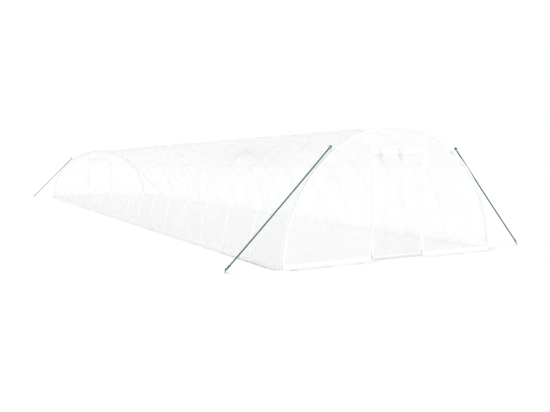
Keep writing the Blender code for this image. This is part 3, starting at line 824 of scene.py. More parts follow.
# Each look's materials, slot in the frame, and the angle from which an edge is drawn sharp
LOOKS = {
    "film": ([FILM], "cover_film", 60),
    "tab": ([FILM, EYELET], "cover_film", 45),
    "door": ([DOOR_FILM], "cover_film", 60),
    "zip": ([ZIP_TAPE, COIL], "zip_slider", 40),
    "slider": ([NICKEL], "zip_slider", 35),
    "rope": ([FIBRE], "guy_rope", 80),
    "ties": ([TAPE, ZIP_TAPE], "tie_webbing", 50),
    "bolted tube": ([STEEL, ZINC], "steel_tube", 40),
    "capped tube": ([STEEL, COIL], "steel_tube", 40),
    "tube": ([STEEL], "steel_tube", 40),
    "wire": ([WIRE], "ground_peg", 40),
}


def make_camera():
    data = bpy.data.cameras.new("camera")
    data.sensor_fit, data.sensor_width, data.lens = "HORIZONTAL", 36.0, CAMERA_LENS
    data.clip_start, data.clip_end = 0.05, 1000.0
    camera = new_object("camera", data)
    camera.location, camera.rotation_euler = CAMERA_PLACE, CAMERA_TURN
    bpy.context.scene.camera = camera


make_camera()


# Guy ropes

def rope_line(x_sign, y_sign):
    """The peg's bend, the rope's direction and the rope's own line for one corner."""
    hole = arch(TAB_BASE + TAB_HOLE_REACH, TAB_ANGLE, y_sign * TAB_Y)
    hole[0] *= x_sign
    bend = vec(x_sign * PEG_X, y_sign * PEG_Y, PEG_HEIGHT - PEG_WIRE / 2)
    along = unit(bend - hole)
    start = hole - along * (TAB_THICKNESS / 2 + CLEARANCE + KNOT_LENGTH)
    end = bend - along * (PEG_WIRE / 2 + CLEARANCE)
    share = np.linspace(0, 1, 40)[:, None]
    line = start + (end - start) * share
    line[:, 2] -= 4 * ROPE_SAG * share[:, 0] * (1 - share[:, 0])
    return bend, along, line


def laid_rope(shape, path, diameter):
    """A three-strand rope: one skin with three lobes that twist round the path."""
    length = distances(path)
    steps = max(8, math.ceil(length[-1] / (diameter * 0.42)))
    along = np.linspace(0, length[-1], steps + 1)
    fine = np.stack([np.interp(along, length, path[:, axis]) for axis in range(3)], 1)
    tube(shape, fine, diameter, up=(0, 1, 0), sides=15, lobes=3, depth=0.20,
         turns=along / (diameter * 3.3) * math.tau)


def stopper_knot(origin, along):
    """An overhand knot drawn up tight behind the tab."""
    shape = Shape()
    helper = unit(np.cross(along, vec(0, 1, 0)))
    side = np.cross(along, helper)
    angle = np.linspace(0, math.tau, 49)
    x = np.sin(angle) + 1.6 * np.sin(2 * angle)
    y = np.cos(angle) - 1.6 * np.cos(2 * angle)
    z = -np.sin(3 * angle)
    path = (origin + np.outer(x, helper) * KNOT_LENGTH * 0.155
            + np.outer(y, side) * KNOT_LENGTH * 0.155 + np.outer(z, along) * KNOT_LENGTH * 0.30)
    tube(shape, path, KNOT_ROPE, up=along, sides=12)
    return shape


def peg_hitch(bend, along):
    """A loop round the peg's bend, laid back along the rope, and the rope's tail."""
    shape = Shape()
    side = vec(0, 1, 0)
    lift = unit(np.cross(side, along))
    radius = PEG_WIRE / 2 + HITCH_ROPE / 2
    turn = np.linspace(-0.5 * math.pi, 0.62 * math.pi, 14)
    loop = [bend + along * radius * math.cos(a) + lift * radius * math.sin(a) for a in turn]
    back = [loop[-1] - along * step for step in (0.006, 0.014, 0.024, 0.034)]
    path = np.array([loop[0] - along * 0.012, *loop, *back])
    tube(shape, path, HITCH_ROPE, up=side, sides=12)
    tail = offsets(bend, math.copysign(1.0, along[0]), (
        (-0.012, 0.010, 0.004), (0.004, 0.013, 0.0105), (0.0125, 0.011, 0.000),
        (0.0135, 0.008, -0.022), (0.0150, 0.006, -0.046)))
    laid_rope(shape, smooth_path(tail, 5), TAIL_ROPE)
    return shape


def whipping(line):
    """Turns of thin cord wound close round the rope."""
    shape = Shape()
    along = unit(line[-1] - line[0])
    start = line[-1] - along * WHIPPING_AT
    side = vec(0, 1, 0)
    lift = np.cross(side, along)
    turns = WHIPPING_LENGTH / WHIPPING_CORD
    angle = np.linspace(0, math.tau * turns, int(14 * turns))
    share = np.linspace(0, 1, len(angle))[:, None]
    radius = ROPE_CROWN / 2
    path = (start + along * WHIPPING_LENGTH * share + np.outer(np.cos(angle), side) * radius
            + np.outer(np.sin(angle), lift) * radius)
    tube(shape, path, WHIPPING_CORD, up=along, sides=8)
    return shape


def build_ropes():
    for corner, x_sign, y_sign in CORNERS:
        bend, along, line = rope_line(x_sign, y_sign)
        shape = Shape()
        laid_rope(shape, line, ROPE_CROWN)
        rope = make_piece(f"{corner}_rope", shape, "rope", f"{corner}_guy_rope")
        shape = stopper_knot(line[0] + along * KNOT_LENGTH * 0.52, along)
        knot = make_piece(f"{corner}_stopper_knot", shape, "rope")
        hitch = make_piece(f"{corner}_peg_hitch", peg_hitch(bend, along), "rope")
        bind = make_piece(f"{corner}_whipping", whipping(line), "rope")
        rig.cord(rope, exit=line[0], length=round(float(distances(line)[-1]), 2), diameter=ROPE,
                far_end="object", stiffness="limp", lay="taut", path=line,
                with_pieces=[knot, hitch, bind])


build_ropes()


# Cover: roof and sides in one sheet

def bay_rows():
    """Places along the ridge with each one's share of its bay, closer together at the hoops."""
    shares = BAY_SHARES + tuple(1 - share for share in BAY_SHARES[-2:0:-1])
    rows = [(-COVER_HALF, 0.0)]
    for bay in range(BAYS):
        rows += [(-LENGTH / 2 + (bay + share) * BAY, share) for share in shares]
    return [*rows, (LENGTH / 2, 0.0), (COVER_HALF, 0.0)]


def cover_columns():
    """The section's places and their flat distances from the ridge.

    Each place is its x, its z where nothing is drawn in, and its angle, or None on a skirt.
    """
    right = [(COVER_RADIUS + FILLET + (SKIRT - FILLET) * share, GROUND_GAP)
             for share in SKIRT_SHARES]
    for turn in (math.radians(90), math.radians(60), math.radians(30)):
        right.append((COVER_RADIUS + FILLET * (1 - math.cos(turn)),
                      GROUND_GAP + FILLET * (1 - math.sin(turn))))
    low = math.asin((GROUND_GAP + FILLET) / COVER_RADIUS)
    places = [(x, z, None) for x, z in right]
    for angle in np.linspace(low, math.pi - low, 121):
        places.append((COVER_RADIUS * math.cos(angle), COVER_RADIUS * math.sin(angle), angle))
    places += [(-x, z, None) for x, z in reversed(right)]
    flat = distances([(x, z) for x, z, _ in places])
    return places, flat - flat.mean()


def draw_in(angle, y, share):
    """How far the film stands inside the hoops' line: slack between hoops, tight on them."""
    bell = 4 * share * (1 - share)
    height = min(angle, math.pi - angle)
    tight = math.sin(min(1.0, height / math.radians(45)) * math.pi / 2)
    arc = angle * COVER_RADIUS
    billow = 0.0060 * rough(arc * 0.9, y * 0.8, 3.1) + 0.0035 * rough(arc * 2.6, y * 1.7, 8.4)
    crease = 0.0016 * rough(arc * 7.0, y * 4.0, 1.7)
    near = math.exp(-min(share, 1 - share) / 0.13)
    pull = abs(math.sin(arc * 13.0 + 2.5 * rough(arc * 1.3, y * 0.5, 5.0) + y))
    fold = 0.0038 * near * (1 - pull) * ease(min(share, 1 - share) / 0.04)
    wall = ease(height / math.radians(6))
    return bell * DRAW_IN * tight - wall * (bell * (billow + crease) + fold)


def painted_roof_shade(angle, y):
    """Painted shade on the roof's left shoulder, as of a dim reflection and wrinkles, darkest near the front."""
    band = math.exp(-((angle - math.radians(124)) / 0.17) ** 2 - ((y + 7.4) / 2.3) ** 2)
    return 1.1 * band * (0.75 + 0.6 * rough(y * 1.5, angle * 7.0, 6.5))


def skirt_point(x, y, z):
    """A point of the skirt, which ripples, wanders and is bunched up at the front left corner."""
    reach = max(0.0, (abs(x) - COVER_RADIUS - FILLET) / (SKIRT - FILLET))
    side = 1.0 if x > 0 else -1.0
    ripple = max(0.0, rough(y * 2.3, side * 4.0, 2.0)) * 1.5 + max(0.0, rough(y * 6.5, side, 9.0))
    gather = math.exp(-((y + 9.3) / 0.9) ** 2) if x < 0 else 0.0
    bunch = 0.010 * gather * (0.6 + 0.4 * math.sin(y * 23))
    lift = (0.0075 * ripple + bunch) * reach ** 1.3
    wander = 0.006 * rough(y * 1.4, side * 7.0, 4.0) * reach
    # The skirt's soil grows toward its outer edge, and the extra darkening where it bunches at the front left corner is
    # painted shade.
    soil = 0.62 + 0.22 * reach + 0.30 * gather
    return x + math.copysign(wander, x), y, z + lift, DOUBLED, soil


def cover_point(row, column):
    """A point of the cover, with its layers on the hoops and in the hems, its soil near the foot, and painted shade low
    on the left and on the roof's left shoulder.
    """
    (y, share), (x, z, angle) = row, column
    if angle is None:
        return skirt_point(x, y, z)
    scale = 1 - draw_in(angle, y, share) / COVER_RADIUS
    seam = 0.6 * math.exp(-(min(share, 1 - share) * BAY / SEAM) ** 4)
    hem = ease((abs(y) - COVER_HALF + COVER_HEM) / HEM_EDGE)
    splash = 0.30 * fall(z, 0, 0.06) + 0.08 * fall(z, 0, 0.40)
    # Soil splashed at the foot, stronger on the left, where the extra is painted shade, and painted shade on the roof's
    # left shoulder.
    soil = (1.0 if x < 0 else 0.35) * splash + max(0.0, painted_roof_shade(angle, y))
    layers = max(seam, hem, 0.6 * fall(z, COVER_FOOT_HEM, HEM_EDGE))
    return x * scale, y, z * scale, layers, soil


def build_cover():
    rows = bay_rows()
    columns, flat = cover_columns()
    shape = Shape()
    shape.surface(rows, columns, cover_point, pairs([y for y, _ in rows], flat)[..., ::-1])
    return make_piece("roof_cover", shape, "film", "roof_sheet")


# Ends: panel, ground flaps, binding and zips

def doorway_reach(angle):
    """How far from the middle of the ground line the doorway's edge is, in one direction."""
    cos, sin = abs(math.cos(angle)), math.sin(angle)
    sideways = DOORWAY_HALF / cos if cos > 1e-9 else math.inf
    upwards = DOORWAY_TOP / sin if sin > 1e-9 else math.inf
    return min(sideways, upwards)


def panel_bulge(x, z, seed):
    """How far the end panel stands out of its plane, outwards, in metres."""
    rim = min((COVER_RADIUS - math.hypot(x, z)) / 0.16, 1.0)
    door = max(abs(x) - DOORWAY_HALF, z - DOORWAY_TOP)
    loose = ease(rim) * ease(door / 0.16) * ease(z / 0.05 + 0.15)
    soft = 0.006 * rough(x * 1.6, z * 1.3, seed) + 0.003 * rough(x * 4.2, z * 3.0, seed + 5)
    away_x, away_z = abs(x) - 0.72, z - 0.80
    radius, turn = math.hypot(away_x, away_z), math.atan2(-away_z, away_x)
    swept = ease((turn + 0.2) / 0.4) * ease((1.9 - turn) / 0.4) * ease((radius - 0.30) / 0.15)
    side = 1.0 if x < 0 else 0.55
    sweep = 0.0075 * math.cos(math.tau * (radius - 0.1) / 0.175 + 0.8 * rough(x * 2, z * 2, seed))
    drape = side * swept * sweep * ease((1.15 - radius) / 0.3)
    return loose * (soft + drape + 0.006)


def build_end_panel(end, seed):
    corner = math.atan2(DOORWAY_TOP, DOORWAY_HALF)
    low = GROUND_GAP / PANEL_RADIUS
    wall = low + (corner - low) * np.linspace(0, 1, 69) ** 1.6
    angles = np.concatenate([
        wall, np.linspace(corner, math.pi - corner, 22)[1:], (math.pi - wall[::-1])[1:],
    ])

    def place(angle, share):
        inner = doorway_reach(angle)
        radius = inner + (PANEL_RADIUS - inner) * share
        x, z = radius * math.cos(angle), max(radius * math.sin(angle), GROUND_GAP)
        away = max(abs(x) - DOORWAY_HALF, z - DOORWAY_TOP)
        hem = max(fall(away, PANEL_HEM, 0.01), fall(z, PANEL_FOOT_HEM, HEM_EDGE))
        soil = 0.16 * fall(z, 0, 0.08) + 0.07 * fall(z, 0, 0.4)
        return x, PANEL_Y - panel_bulge(x, z, seed), z, hem, soil

    shape = Shape()
    points = shape.surface(angles, np.linspace(0, 1, 37), place)
    for edge, sign in ((points[-1], -1), (points[0], 1)):
        add_ground_flap(shape, edge, sign, seed)
    return make_piece(f"{end}_end_film", shape, "film", f"{end}_end_panel", end=end)


def add_ground_flap(shape, edge, sign, seed):
    """A doubled strip of the end panel that lies on the ground outdoors."""
    def place(width, point):
        x, y, _ = point
        reach = width / FLAP_WIDTHS[-1]
        ripple = (max(0.0, rough(x * 5.5, sign * 3.0, seed))
                  + 0.6 * max(0.0, rough(x * 13.0, sign, seed + 3)))
        lift = 0.011 * ripple * reach ** 1.2
        drop = 0.0020 * fall(width, 0, 0.012) * (width > 0)
        wander = 0.005 * rough(x * 2.2, sign * 5.0, seed) * reach
        soil = 0.08 + 0.12 * width / SKIRT
        return x, y - width - wander, GROUND_GAP + lift + drop, DOUBLED, soil

    shape.surface(FLAP_WIDTHS, edge, place, pairs(-FLAP_WIDTHS, edge[:, 0])[..., ::-1])


def build_binding(end):
    """A folded strip welded over the corner between the roof and the end panel."""
    low = math.asin(0.003 / BINDING_RADIUS)
    angles = np.linspace(low, math.pi - low, 181)
    section = [(0.024, 0.0), (0.0235, 0.0008), (-0.012, 0.0010), (-0.0155, 0.0002),
               (BINDING_Y, -0.0030), (BINDING_Y - 0.0004, -BINDING_WIDTH),
               (BINDING_Y + 0.0010, -BINDING_WIDTH - 0.0006)]

    def place(angle, spot):
        y, inward = spot
        pucker = 0.0009 * rough(angle * 46.0, 2.0, 6.0)
        on_roof = inward > -0.002
        radius = BINDING_RADIUS - 0.0004 + inward + pucker * on_roof
        return *arch(radius, angle, y - pucker * (not on_roof)), 1.3, 0.50

    shape = Shape()
    flat = pairs(angles * BINDING_RADIUS, np.arange(len(section)) * 0.011)
    shape.surface(angles, section, place, flat)
    return make_piece(f"{end}_binding", shape, "film", end=end)


def build_zip(end, side, sign):
    """Woven tape with a chain of moulded teeth and a stop at each end."""
    shape = Shape()
    middle = sign * ZIP_X
    tape = np.array([[(middle + dx + 0.0006 * rough(z * 9.0, sign, 3.0), y, z)
                      for dx, y in ZIP_SECTION] for z in np.linspace(0.004, DOORWAY_TOP, 90)])
    shape.grid(tape, tape[..., (2, 0)] / (1, 0.03))
    corners = np.array([(x, y, z) for x in (-1, 1) for y in (-1, 1) for z in (-1, 1)]) * 0.5
    faces = [(0, 1, 3, 2), (4, 6, 7, 5), (0, 4, 5, 1), (2, 3, 7, 6), (0, 2, 6, 4), (1, 5, 7, 3)]
    for number in range(TEETH):
        shift = TOOTH_SHIFT if number % 2 else -TOOTH_SHIFT
        tooth = corners * TOOTH
        tooth[:, 0] *= np.where(np.sign(corners[:, 0]) == np.sign(shift), 1.0, 0.7)
        z = TOOTH_LOW + number * TOOTH_STEP
        shape.add(tooth + vec(middle + shift, TOOTH_Y, z), faces, slot=1)
    for z in ZIP_STOPS:
        tube(shape, [(middle - 0.004, TOOTH_Y, z), (middle + 0.004, TOOTH_Y, z)], 0.003, 0.004,
             sides=10, square=4, slot=1)
    return make_piece(f"{end}_{side}_zip", shape, "zip", end=end)


def stacked(centre, profile, square, sides):
    """Rings above each other, from each one's height above the centre, width and depth."""
    return [ring(centre + vec(0, 0, dz), vec(1, 0, 0), vec(0, 1, 0), width, depth, square, sides)
            for dz, width, depth in profile]


def build_slider(end, side, sign):
    """Cast zip slider: a body that widens to its shoulders, a bridge and a pull with a slot."""
    shape = Shape()
    x = sign * ZIP_X
    skin(shape, stacked((x, -0.0236, SLIDER_Z), (
        (-0.0130, 0.0085, 0.0050), (-0.0124, 0.0098, 0.0068), (-0.006, 0.0112, 0.0078),
        (0.001, 0.0150, 0.0082), (0.006, 0.0186, 0.0084), (0.0105, 0.0198, 0.0078),
        (0.0128, 0.0180, 0.0060)), 4.5, 20))
    bridge = [(x, -0.0272 - 0.0028 * math.sin(a), SLIDER_Z + 0.0065 * math.cos(a))
              for a in np.linspace(0, math.pi, 9)]
    tube(shape, bridge, 0.0036, 0.0016, up=(0, 1, 0), square=4, sides=10)
    outer = round_box(0.010, 0.038, 0.0045, 48)
    hole = round_box(0.0056, 0.028, 0.0026, 48, (0, 0.002))
    plate(shape, vec(x, -0.0302, SLIDER_Z - PULL_DROP), vec(1, 0, 0), unit(vec(0, -0.06, 1)),
          outer, 0.0016, hole)
    body = f"{end}_{side}_zip_slider"
    return make_piece(f"{end}_{side}_slider", shape, "slider", body, body, end)


# Door

def door_stand(x, z, seed):
    """How far the door's film stands out of its plane, outwards."""
    across, up = x / DOOR_HALF / 2 + 0.5, (z - DOOR_LOW) / (DOOR_TOP - DOOR_LOW)
    wave = 0.5 - 0.5 * math.cos(math.tau * FOLDS * across + 0.9 * (1 - up) * math.sin(3 * z))
    slack = max(0.0, math.sin(math.pi * up)) ** 0.8
    soft = 0.0022 * rough(x * 6.0, z * 2.2, seed) + 0.0012 * rough(x * 13, z * 6.0, seed + 4)
    pull_x, pull_z = x - 0.30, z - 0.21
    slant = pull_x * 0.6 + pull_z * 0.8
    pinch = 0.010 * math.exp(-(pull_x / 0.13) ** 2 - (pull_z / 0.13) ** 2)
    crease = pinch * (0.5 + 0.5 * math.cos(math.tau * slant / 0.09))
    edge = ease((DOOR_HALF - abs(x)) / 0.05)
    return FOLD_DEPTH * wave * slack + (0.0035 + soft) * slack * edge + crease * edge


def build_door(end, seed):
    def place(z, x):
        hem = ease(max(abs(x) - SIDE_HEM_X, z - TOP_HEM_Z, FOOT_HEM_Z - z) / DOOR_HEM_EDGE)
        pull = math.exp(-((x - 0.30) / 0.11) ** 2 - ((z - 0.20) / 0.12) ** 2)
        # The darkening round the pulled crease low on the right is painted shade in the crease; the darkening near the
        # foot is soil.
        soil = 0.24 * fall(z, 0.03, 0.16) + 0.22 * pull
        return x, DOOR_Y - door_stand(x, z, seed), z, hem, soil

    shape = Shape()
    shape.surface(np.linspace(DOOR_LOW, DOOR_TOP, 91), np.linspace(-DOOR_HALF, DOOR_HALF, 65),
                  place)
    door = make_piece(f"{end}_door_film", shape, "door", f"{end}_door_panel", end=end)
    sleeve = build_sleeve(end, seed)
    anchor = (0, ENDS[end] * LENGTH / 2, DOOR_TOP)
    keep = (DOOR_TOP - DOOR_LOW - LIFT) / (DOOR_TOP - DOOR_LOW)
    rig.squash(door, f"{end}_door_lift", axis=(0, 0, 1), anchor=anchor, keep=keep)
    return door, sleeve


def build_sleeve(end, seed):
    """The door's hem, sewn round the bar that the door is rolled up on."""
    seam = [(DOOR_Y, DOOR_LOW + 0.004), (DOOR_Y - 0.0002, DOOR_LOW - 0.004)]
    round_bar = [(BAR_Y + SLEEVE * math.cos(turn), BAR_Z + SLEEVE * math.sin(turn))
                 for turn in np.radians(np.linspace(-10, -275, 15))]
    back = [(-0.0212, 0.0445), (-0.0205, 0.048), (-0.0204, 0.051), (-0.0206, 0.0535)]
    section = seam + round_bar + back

    def place(x, spot):
        away = unit(vec(spot[0] - BAR_Y, spot[1] - BAR_Z))
        gather = 0.0007 * rough(x * 34.0, seed, 1.0) + 0.0004 * rough(x * 80.0, seed, 2.0)
        y, z = np.array(spot) + away * (0.0 if spot in seam else gather)
        return x, y, max(z, SLEEVE_LOW), 1.0, 0.22

    shape = Shape()
    xs = np.linspace(-DOOR_HALF + 0.004, DOOR_HALF - 0.004, 97)
    shape.surface(xs, section, place, pairs(xs, distances(section)))
    return make_piece(f"{end}_door_sleeve", shape, "door", body=f"{end}_door", end=end)


def build_bar(end):
    """The bar in the hem, with a plastic cap on each end."""
    shape = Shape()
    tube(shape, [(x, BAR_Y, BAR_Z) for x in (-BAR_HALF, 0, BAR_HALF)], BAR)
    for sign in (-1, 1):
        turned(shape, vec(sign * (BAR_HALF + 0.0015), BAR_Y, BAR_Z), vec(-sign, 0, 0), BAR_CAP, 18)
    return make_piece(f"{end}_bar", shape, "capped tube", f"{end}_hem_bar", f"{end}_door", end)


# Tie straps

def ribbon(shape, path, width, thickness=RIBBON, up=(0, -1, 0), slot=0):
    tube(shape, path, width, thickness, up=up, square=5.0, sides=12, slot=slot)


def add_bow(shape, x, y, z):
    """Two loops, two tails and the knot between them."""
    for sign in (-1, 1):
        loop = smooth_path(offsets((x, y, z), sign, (
            (0.002, -0.003, 0.000), (0.014, -0.0075, 0.006), (0.030, -0.0085, 0.010),
            (0.039, -0.004, 0.010), (0.0375, 0.0015, 0.006), (0.026, 0.0025, 0.001),
            (0.012, 0.0015, -0.003), (0.002, 0.000, -0.001))), 5)
        share = np.linspace(0, 1, len(loop))
        ribbon(shape, loop, 0.008 + 0.014 * np.sin(math.pi * share) ** 0.7)
        tail = smooth_path(offsets((x, y, z), sign, (
            (0.002, -0.002, -0.002), (0.007, -0.005, -0.014), (0.012, -0.0035, -0.032),
            (0.016, -0.006, -0.050), (0.020 if sign > 0 else 0.017, -0.0045, -0.068))), 5)
        share = np.linspace(0, 1, len(tail))
        ribbon(shape, tail, np.interp(share, [0, 0.2, 1], [0.008, 0.014, 0.017]))
    skin(shape, stacked((x, y - 0.0030, z), (
        (-0.0085, 0.008, 0.006), (-0.0065, 0.0125, 0.0105), (0.0, 0.0140, 0.0125),
        (0.0065, 0.0125, 0.0105), (0.0085, 0.008, 0.006)), 3.0, 16))


def build_ties(end):
    """A strap over the doorway, and two ties that hang from it and end in bows."""
    shape = Shape()
    header = [(x, HEADER_Y, HEADER_Z) for x in np.linspace(-0.49, 0.49, 41)]
    ribbon(shape, header, 0.0022, 0.030, (0, 0, 1), 1)
    for x in TIE_XS:
        hang = smooth_path([(x, -0.0190, HEADER_Z + 0.009), (x, -0.0215, HEADER_Z + 0.004),
                            (x, -0.0330, HEADER_Z - 0.004), (x + 0.001, TIE_Y + 0.001, 1.625),
                            (x + 0.002, TIE_Y, 1.600), (x, TIE_Y - 0.001, BOW_Z)], 6)
        widths = np.interp(np.linspace(0, 1, len(hang)), [0, 0.6, 1], [0.024, 0.022, 0.012])
        ribbon(shape, hang, widths, slot=1)
        add_bow(shape, x, TIE_Y - 0.001, BOW_Z)
    return make_piece(f"{end}_ties", shape, "ties", f"{end}_tie_strap", end=end)


# Rope tabs on the roof

def build_tab(corner, x_sign, y_sign):
    """A doubled tab of film with an eyelet, on a welded patch."""
    shape = Shape()
    tangent = vec(-math.sin(TAB_ANGLE), 0, math.cos(TAB_ANGLE))
    outward = arch(1, TAB_ANGLE)
    along = vec(0, 1, 0)
    centre = outward * (TAB_BASE + TAB_HOLE_REACH)
    outline = round_box(TAB_WIDTH, 2 * TAB_HALF_TOP, 0.024, 56)
    low = outline[:, 1] < 0
    outline[low, 0] *= 1 - 0.10 * np.sin(np.pi * outline[low, 1] / -TAB_HALF_TOP)
    outline[low, 1] *= (TAB_HOLE_REACH + 0.001) / TAB_HALF_TOP
    for layer in (-0.0011, 0.0011):
        plate(shape, centre + tangent * layer, along, outward, outline, 0.0020,
              circle(EYELET_HOLE, 56))

    def place(v, u):
        lift = 0.0016 + 0.010 * math.exp(-(v / 0.006) ** 2)
        edge = ease((0.055 - abs(u + 0.025)) / 0.008) * ease((0.045 - abs(v)) / 0.008)
        inside = 0.0025 + 0.0006 * rough(u * 60, v * 60, 2.0)
        height = COVER_RADIUS - inside + lift * edge
        return *arch(height, TAB_ANGLE + v / COVER_RADIUS, u), 1.0, 0.05

    shape.surface(np.linspace(-0.045, 0.045, 13), np.linspace(-0.080, 0.030, 13), place,
                  axes=(0, 1))
    half = EYELET_HALF
    eyelet = [*half, *((-distance, radius) for distance, radius in half[::-1]), half[0]]
    skin(shape, [round_ring(centre + tangent * distance, along, outward, radius, 32)
                 for distance, radius in eyelet], slot=1, caps=False)
    shape.rows[:, :2] *= (x_sign, y_sign)
    shape.rows[:, 1] += y_sign * TAB_Y
    return make_piece(f"{corner}_tab", shape, "tab")


# Steel frame

def hoop_angles():
    """Angles along a hoop, with more of them at its socketed joints."""
    steps = (-0.022, -0.012, -0.0012, 0.0, 0.0012, 0.020, 0.024)
    near = [joint + step for joint in HOOP_JOINTS for step in steps]
    even = np.linspace(FOOT_ANGLE, math.pi - FOOT_ANGLE, 97)
    return np.unique(np.round(np.concatenate([even, near]), 6))


def hoop_width(angle):
    """A tube's width near its joints: swaged down where it goes in, flared where it takes it."""
    for joint in HOOP_JOINTS:
        step = angle - joint
        if -HOOP_SOCKET < step < -0.0010:
            return TUBE - HOOP_SWAGE * ease((step + 0.0220) / 0.0100)
        if -0.0010 <= step < HOOP_SOCKET:
            return TUBE + HOOP_FLARE
    return TUBE


def build_hoop(number, y):
    """A hoop in three lengths, with a rivet on the inside of each joint."""
    shape = Shape()
    angles = hoop_angles()
    path = [arch(ARCH_RADIUS, angle, y) for angle in angles]
    tube(shape, path, [hoop_width(angle) for angle in angles], up=(0, 1, 0))
    for joint in HOOP_JOINTS:
        place = joint + 0.010
        turned(shape, arch(ARCH_RADIUS - TUBE / 2 - 0.0004, place, y), -arch(1, place), RIVET, 12)
    return make_piece(f"hoop_tube_{number:02d}", shape, "bolted tube", f"hoop_{number:02d}")


def ear_outline(height):
    """An ear's outline from the tube up to a round top."""
    half = EAR_WIDTH / 2
    turn = np.linspace(0, math.pi, 20)
    arc = np.stack([half * np.cos(turn), height - half + half * np.sin(turn)], 1)
    return np.vstack([(-half * 0.86, 0.0), (half * 0.86, 0.0), arc])


def eared_tube(name, node, centre, lean, height, bolt_at, diameter):
    """A lengthwise tube in socketed lengths, with an ear bolted to each hoop."""
    shape = Shape()
    half = (LENGTH + TUBE) / 2
    steps = (-0.05, -0.03, -0.001, 0.001, 0.045, 0.048)
    near = [joint + step for joint in TUBE_JOINTS for step in steps]
    places = np.unique(np.concatenate([np.linspace(-half, half, 81), near]))
    widths = []
    for y in places:
        away = y - TUBE_JOINTS
        socket = ((away > 0) & (away < TUBE_SOCKET)).any()
        swaged = ((away > -TUBE_PLUG) & (away <= 0)).any()
        widths.append(diameter + (TUBE_FLARE if socket else -TUBE_SWAGE * swaged))
    tube(shape, [(centre[0], y, centre[1]) for y in places], widths)
    across = np.cross(lean, vec(0, 1, 0))
    for y in HOOP_YS:
        inwards = -math.copysign(1.0, y)
        face = y + inwards * (TUBE / 2 + CLEARANCE + EAR_THICKNESS / 2)
        base = vec(centre[0], face, centre[1])
        plate(shape, base, across, lean, ear_outline(height), EAR_THICKNESS)
        outer = base + lean * bolt_at + vec(0, inwards * EAR_THICKNESS / 2, 0)
        has_nut = abs(y) < LENGTH / 2 - 0.1
        bolt(shape, outer, vec(0, -inwards, 0), has_nut * (TUBE + EAR_THICKNESS + CLEARANCE))
    return make_piece(name, shape, "bolted tube", node)


def build_lengthwise():
    """Three purlins inside the hoops, and a rail along each side's foot."""
    for name, angle in (("ridge", math.pi / 2), ("left", math.pi - SHOULDER_ANGLE),
                        ("right", SHOULDER_ANGLE)):
        centre = arch(INSIDE_RADIUS, angle)
        eared_tube(f"{name}_purlin_tube", f"{name}_purlin", (centre[0], centre[2]),
                   arch(1.0, angle), ARCH_RADIUS + EAR_REACH - INSIDE_RADIUS, PURLIN_BOLT,
                   THIN_TUBE)
    slope = FOOT_ANGLE + math.radians(0.5)
    for side, sign in SIDES.items():
        lean = vec(-sign * math.sin(slope), 0, math.cos(slope))
        eared_tube(f"{side}_rail_tube", f"{side}_base_rail", (sign * ARCH_RADIUS, TUBE / 2), lean,
                   EAR_LENGTH, RAIL_BOLT, TUBE)


def build_strut(name, start, finish, diameter, seats, bolt_way=-1, end=None):
    """A tube whose ends are pressed flat against what they are bolted to.

    Each seat is the flat's offset from the tube's axis at that end, how far the flat goes on
    past the end, and how far back along the tube it comes. The bolts point along that offset, or
    against it where bolt_way is -1.
    """
    shape = Shape()
    along = unit(finish - start)
    up = square_to(unit(seats[0][0] + seats[1][0]), along)
    across = np.cross(along, up)
    halves = []
    for point, way, (offset, past, back) in ((start, along, seats[0]), (finish, -along, seats[1])):
        facing = unit(offset)
        run = square_to(way, facing)
        side = square_to(across - facing * (across @ facing), run)
        flat, half = point + offset, EAR_WIDTH / 2
        rings = []
        for step in (0.0004, 0.0015, 0.0035, 0.007, 0.011):
            width = 2 * math.sqrt(max(half ** 2 - (half - step) ** 2, 1e-8))
            rings.append(ring(flat + run * (step - past), side, facing, width, EAR_THICKNESS, 5.0))
        rings.append(ring(flat + run * back, side, facing, PRESSED_WIDTH, EAR_THICKNESS, 5.0))
        full = point + way * (back + TAPER)
        for share in (0.15, 0.32, 0.5, 0.68, 0.85, 1.0):
            blend = float(ease(share))
            centre = mixed(flat + run * back, full, blend)
            centre = centre + (full - flat - run * back) * (share - blend)
            right = unit(mixed(side, across, blend))
            upward = square_to(mixed(facing, up, blend), right)
            rings.append(ring(centre, right, upward, mixed(PRESSED_WIDTH, diameter, blend),
                              mixed(EAR_THICKNESS, diameter, blend), 5.0 - 3.0 * blend))
        halves.append(rings)
        middle, inwards = flat + run * ((back - past) / 2), facing * bolt_way
        bolt(shape, middle - inwards * (EAR_THICKNESS / 2), inwards)
    skin(shape, halves[0] + halves[1][::-1])
    make_piece(f"{name}_tube", shape, "bolted tube", name, end=end)


def build_end_frame(end):
    """The sill, the lintel and the two door posts."""
    shape = Shape()
    tube(shape, [(x, 0, TUBE / 2) for x in (-SILL_HALF, 0, SILL_HALF)], TUBE)
    make_piece(f"{end}_sill_tube", shape, "tube", f"{end}_sill", end=end)
    indoors = vec(0, SEAT, 0)
    seat = (indoors, EAR_WIDTH / 2, TUBE / 2 + 0.001)
    build_strut(f"{end}_lintel", vec(-POST_X, 0, LINTEL_HEIGHT), vec(POST_X, 0, LINTEL_HEIGHT),
                TUBE, (seat, seat), end=end)
    seats = ((indoors, 0, TUBE + 0.001 - EAR_REACH), (indoors, 0, 0.030))
    for side, sign in SIDES.items():
        x = -sign * ENDS[end] * POST_X
        top = math.sqrt(ARCH_RADIUS ** 2 - POST_X ** 2)
        build_strut(f"{end}_{side}_post", vec(x, 0, EAR_REACH), vec(x, 0, top), TUBE, seats,
                    end=end)


